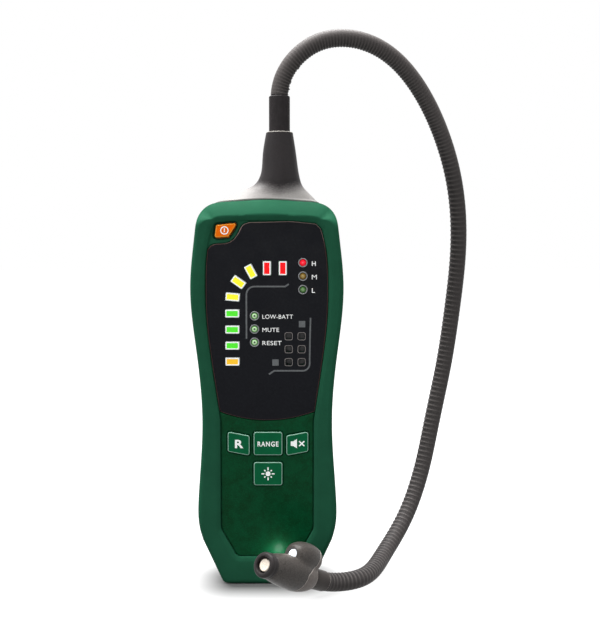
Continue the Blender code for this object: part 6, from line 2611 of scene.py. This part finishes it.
@dataclass
class Studio:
    """Pale floor, soft light and the photograph's camera."""

    camera_place: tuple[float, float, float] = (0.016, -0.4805, 0.166)
    camera_tilt: float = 86.0
    focal: float = 957 / 625 * 36
    ambient: float = 0.19
    overhead: float = 10.2
    front: float = 0.62
    sides: float = 1.35
    floor_shadow_grey: float = 98.0
    footprint: tuple[float, float, float] = (0.0155, 0.0050, 0.0)
    to_middle: tuple[float, float, float] = (0.0, 0.0155, 0.0)
    lamp_scale: float = 7.0

    def floor(self) -> bpy.types.Object:
        """A grey floor that turns white to the camera and in gloss as it leaves the case's footprint, so
        that a painted contact shadow stays round the front of the base on top of the lamps' own shadow.

        The whiteness grows with the distance from the front of the footprint, which is the length
        of what is left of |x| and |y + 0.0155| once half its width and depth are taken off.

        Returns:
            The floor.
        """
        mesh = bpy.data.meshes.new("floor")
        reach = 6.0
        corners = [(-reach, -reach, 0.0), (reach, -reach, 0.0), (reach, reach, 0.0), (-reach, reach, 0.0)]
        mesh.from_pydata(corners, [], [(0, 1, 2, 3)])
        obj = linked("floor", mesh)
        tree = ShaderTree("floor_white")
        rays = tree.node("ShaderNodeLightPath").outputs
        seen = tree.sums("MAXIMUM", rays["Is Camera Ray"], rays["Is Glossy Ray"])
        seen = tree.sums("MAXIMUM", seen, rays["Is Transmission Ray"])
        # Grey where the emission is off, near the base's front: a painted contact shadow.
        tree.set("Base Color", linear((self.floor_shadow_grey,) * 3))
        beyond = tree.vector("ADD", tree.place, self.to_middle)
        beyond = tree.vector("ABSOLUTE", beyond)
        beyond = tree.vector("SUBTRACT", beyond, self.footprint)
        beyond = tree.vector("MAXIMUM", beyond, (0.0, 0.0, 0.0))
        away = tree.vector("LENGTH", beyond, output="Value")
        tree.set("Roughness", 0.9)
        tree.set("Specular IOR Level", 0.0)
        tree.set("Emission Color", (1.0, 1.0, 1.0, 1.0))
        tree.set("Emission Strength",
                 tree.sums("MULTIPLY", tree.span(away, (0.003, 0.024), (0.0, 1.0)), seen))
        mesh.materials.append(tree.material)
        return obj

    def world(self) -> None:
        """Even light from all round, and white to the camera and in gloss."""
        world = bpy.data.worlds.new("white_room")
        world.use_nodes = True
        bpy.context.scene.world = world
        nodes, links = world.node_tree.nodes, world.node_tree.links
        plain = nodes["Background"]
        plain.inputs["Color"].default_value = (1.0, 1.0, 1.0, 1.0)
        plain.inputs["Strength"].default_value = self.ambient
        bright = nodes.new("ShaderNodeBackground")
        bright.inputs["Color"].default_value = (1.0, 1.0, 1.0, 1.0)
        bright.inputs["Strength"].default_value = 1.0
        rays = nodes.new("ShaderNodeLightPath")
        seen = rays.outputs["Is Camera Ray"]
        for kind in ("Is Glossy Ray", "Is Transmission Ray"):
            either = nodes.new("ShaderNodeMath")
            either.operation = "MAXIMUM"
            links.new(seen, either.inputs[0])
            links.new(rays.outputs[kind], either.inputs[1])
            seen = either.outputs[0]
        mix = nodes.new("ShaderNodeMixShader")
        links.new(seen, mix.inputs[0])
        links.new(plain.outputs[0], mix.inputs[1])
        links.new(bright.outputs[0], mix.inputs[2])
        links.new(mix.outputs[0], nodes["World Output"].inputs["Surface"])

    def lamp(self, name: str, place: tuple, aim: tuple, size: Pair, power: float) -> bpy.types.Object:
        """A rectangular soft lamp.

        Args:
            name: The lamp's name.
            place: Where it hangs.
            aim: The point that it faces.
            size: Its width and height.
            power: Its power in watts.

        Returns:
            The lamp.
        """
        data = bpy.data.lights.new(name, "AREA")
        data.shape = "RECTANGLE"
        data.size, data.size_y = size
        data.energy = power
        obj = linked(name, data)
        obj.location = place
        obj.rotation_euler = (Vector(aim) - Vector(place)).to_track_quat("-Z", "Y").to_euler()
        return obj

    def lamps(self) -> None:
        """A broad lamp overhead, a fill from the front and a narrow strip on either hand."""
        centre = (0.02, 0.0, 0.10)
        self.lamp("overhead", (-0.12, 0.22, 1.28), centre, (1.3, 1.1), self.overhead * self.lamp_scale)
        glow = self.lamp("head_glow", (0.0054, -0.0262, 0.0152), (0.0054, 0.0, 0.0150), (0.004, 0.004),
                         0.0019)
        spill = self.lamp("head_spill", (0.0116, -0.0591, 0.0311), (0.0070, -0.0637, 0.0290),
                          (0.002, 0.002), 0.0013)
        spill.visible_glossy = False
        glow.data.shape = spill.data.shape = "DISK"
        self.lamp("front_fill", (-0.25, -1.45, 0.26), centre, (1.2, 0.5), self.front * self.lamp_scale)
        self.lamp("left_strip", (-0.95, -0.45, 0.32), centre, (0.25, 0.8), self.sides * 1.6)
        self.lamp("right_strip", (0.95, -0.55, 0.32), centre, (0.25, 0.8), self.sides * 1.3)

    def camera(self) -> bpy.types.Object:
        """The camera at the photograph's place, with its length of lens.

        Returns:
            The camera.
        """
        data = bpy.data.cameras.new("camera")
        data.sensor_width = 36.0
        data.sensor_fit = "AUTO"
        data.lens = self.focal
        data.clip_start = 0.01
        data.clip_end = 50.0
        obj = linked("camera", data)
        obj.location = self.camera_place
        obj.rotation_euler = (math.radians(self.camera_tilt), 0.0, 0.0)
        bpy.context.scene.camera = obj
        return obj

    def build(self) -> None:
        """Builds the floor, the light and the camera."""
        bpy.context.scene.view_settings.view_transform = "Standard"
        self.floor()
        self.world()
        self.lamps()
        self.camera()


def main() -> None:
    """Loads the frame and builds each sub-assembly in turn."""
    logging.basicConfig(level=logging.INFO, format="%(name)s %(message)s")
    for obj in list(bpy.data.objects):
        bpy.data.objects.remove(obj)
    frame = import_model()
    form = HousingForm()
    layout = KeyLayout(form)
    lamps = LampLayout(form)
    case = Case(form, layout, lamps)
    case.build()
    face = Face(form, layout, lamps)
    face.build()
    Keys(form, layout, face).build()
    neck = Neck(form)
    neck.build()
    head = SensorHead(form)
    head.build()
    Gooseneck(form, neck, head).build()
    Inside(form, case, frame).build()
    Studio().build()


if __name__ == "__main__":
    main()
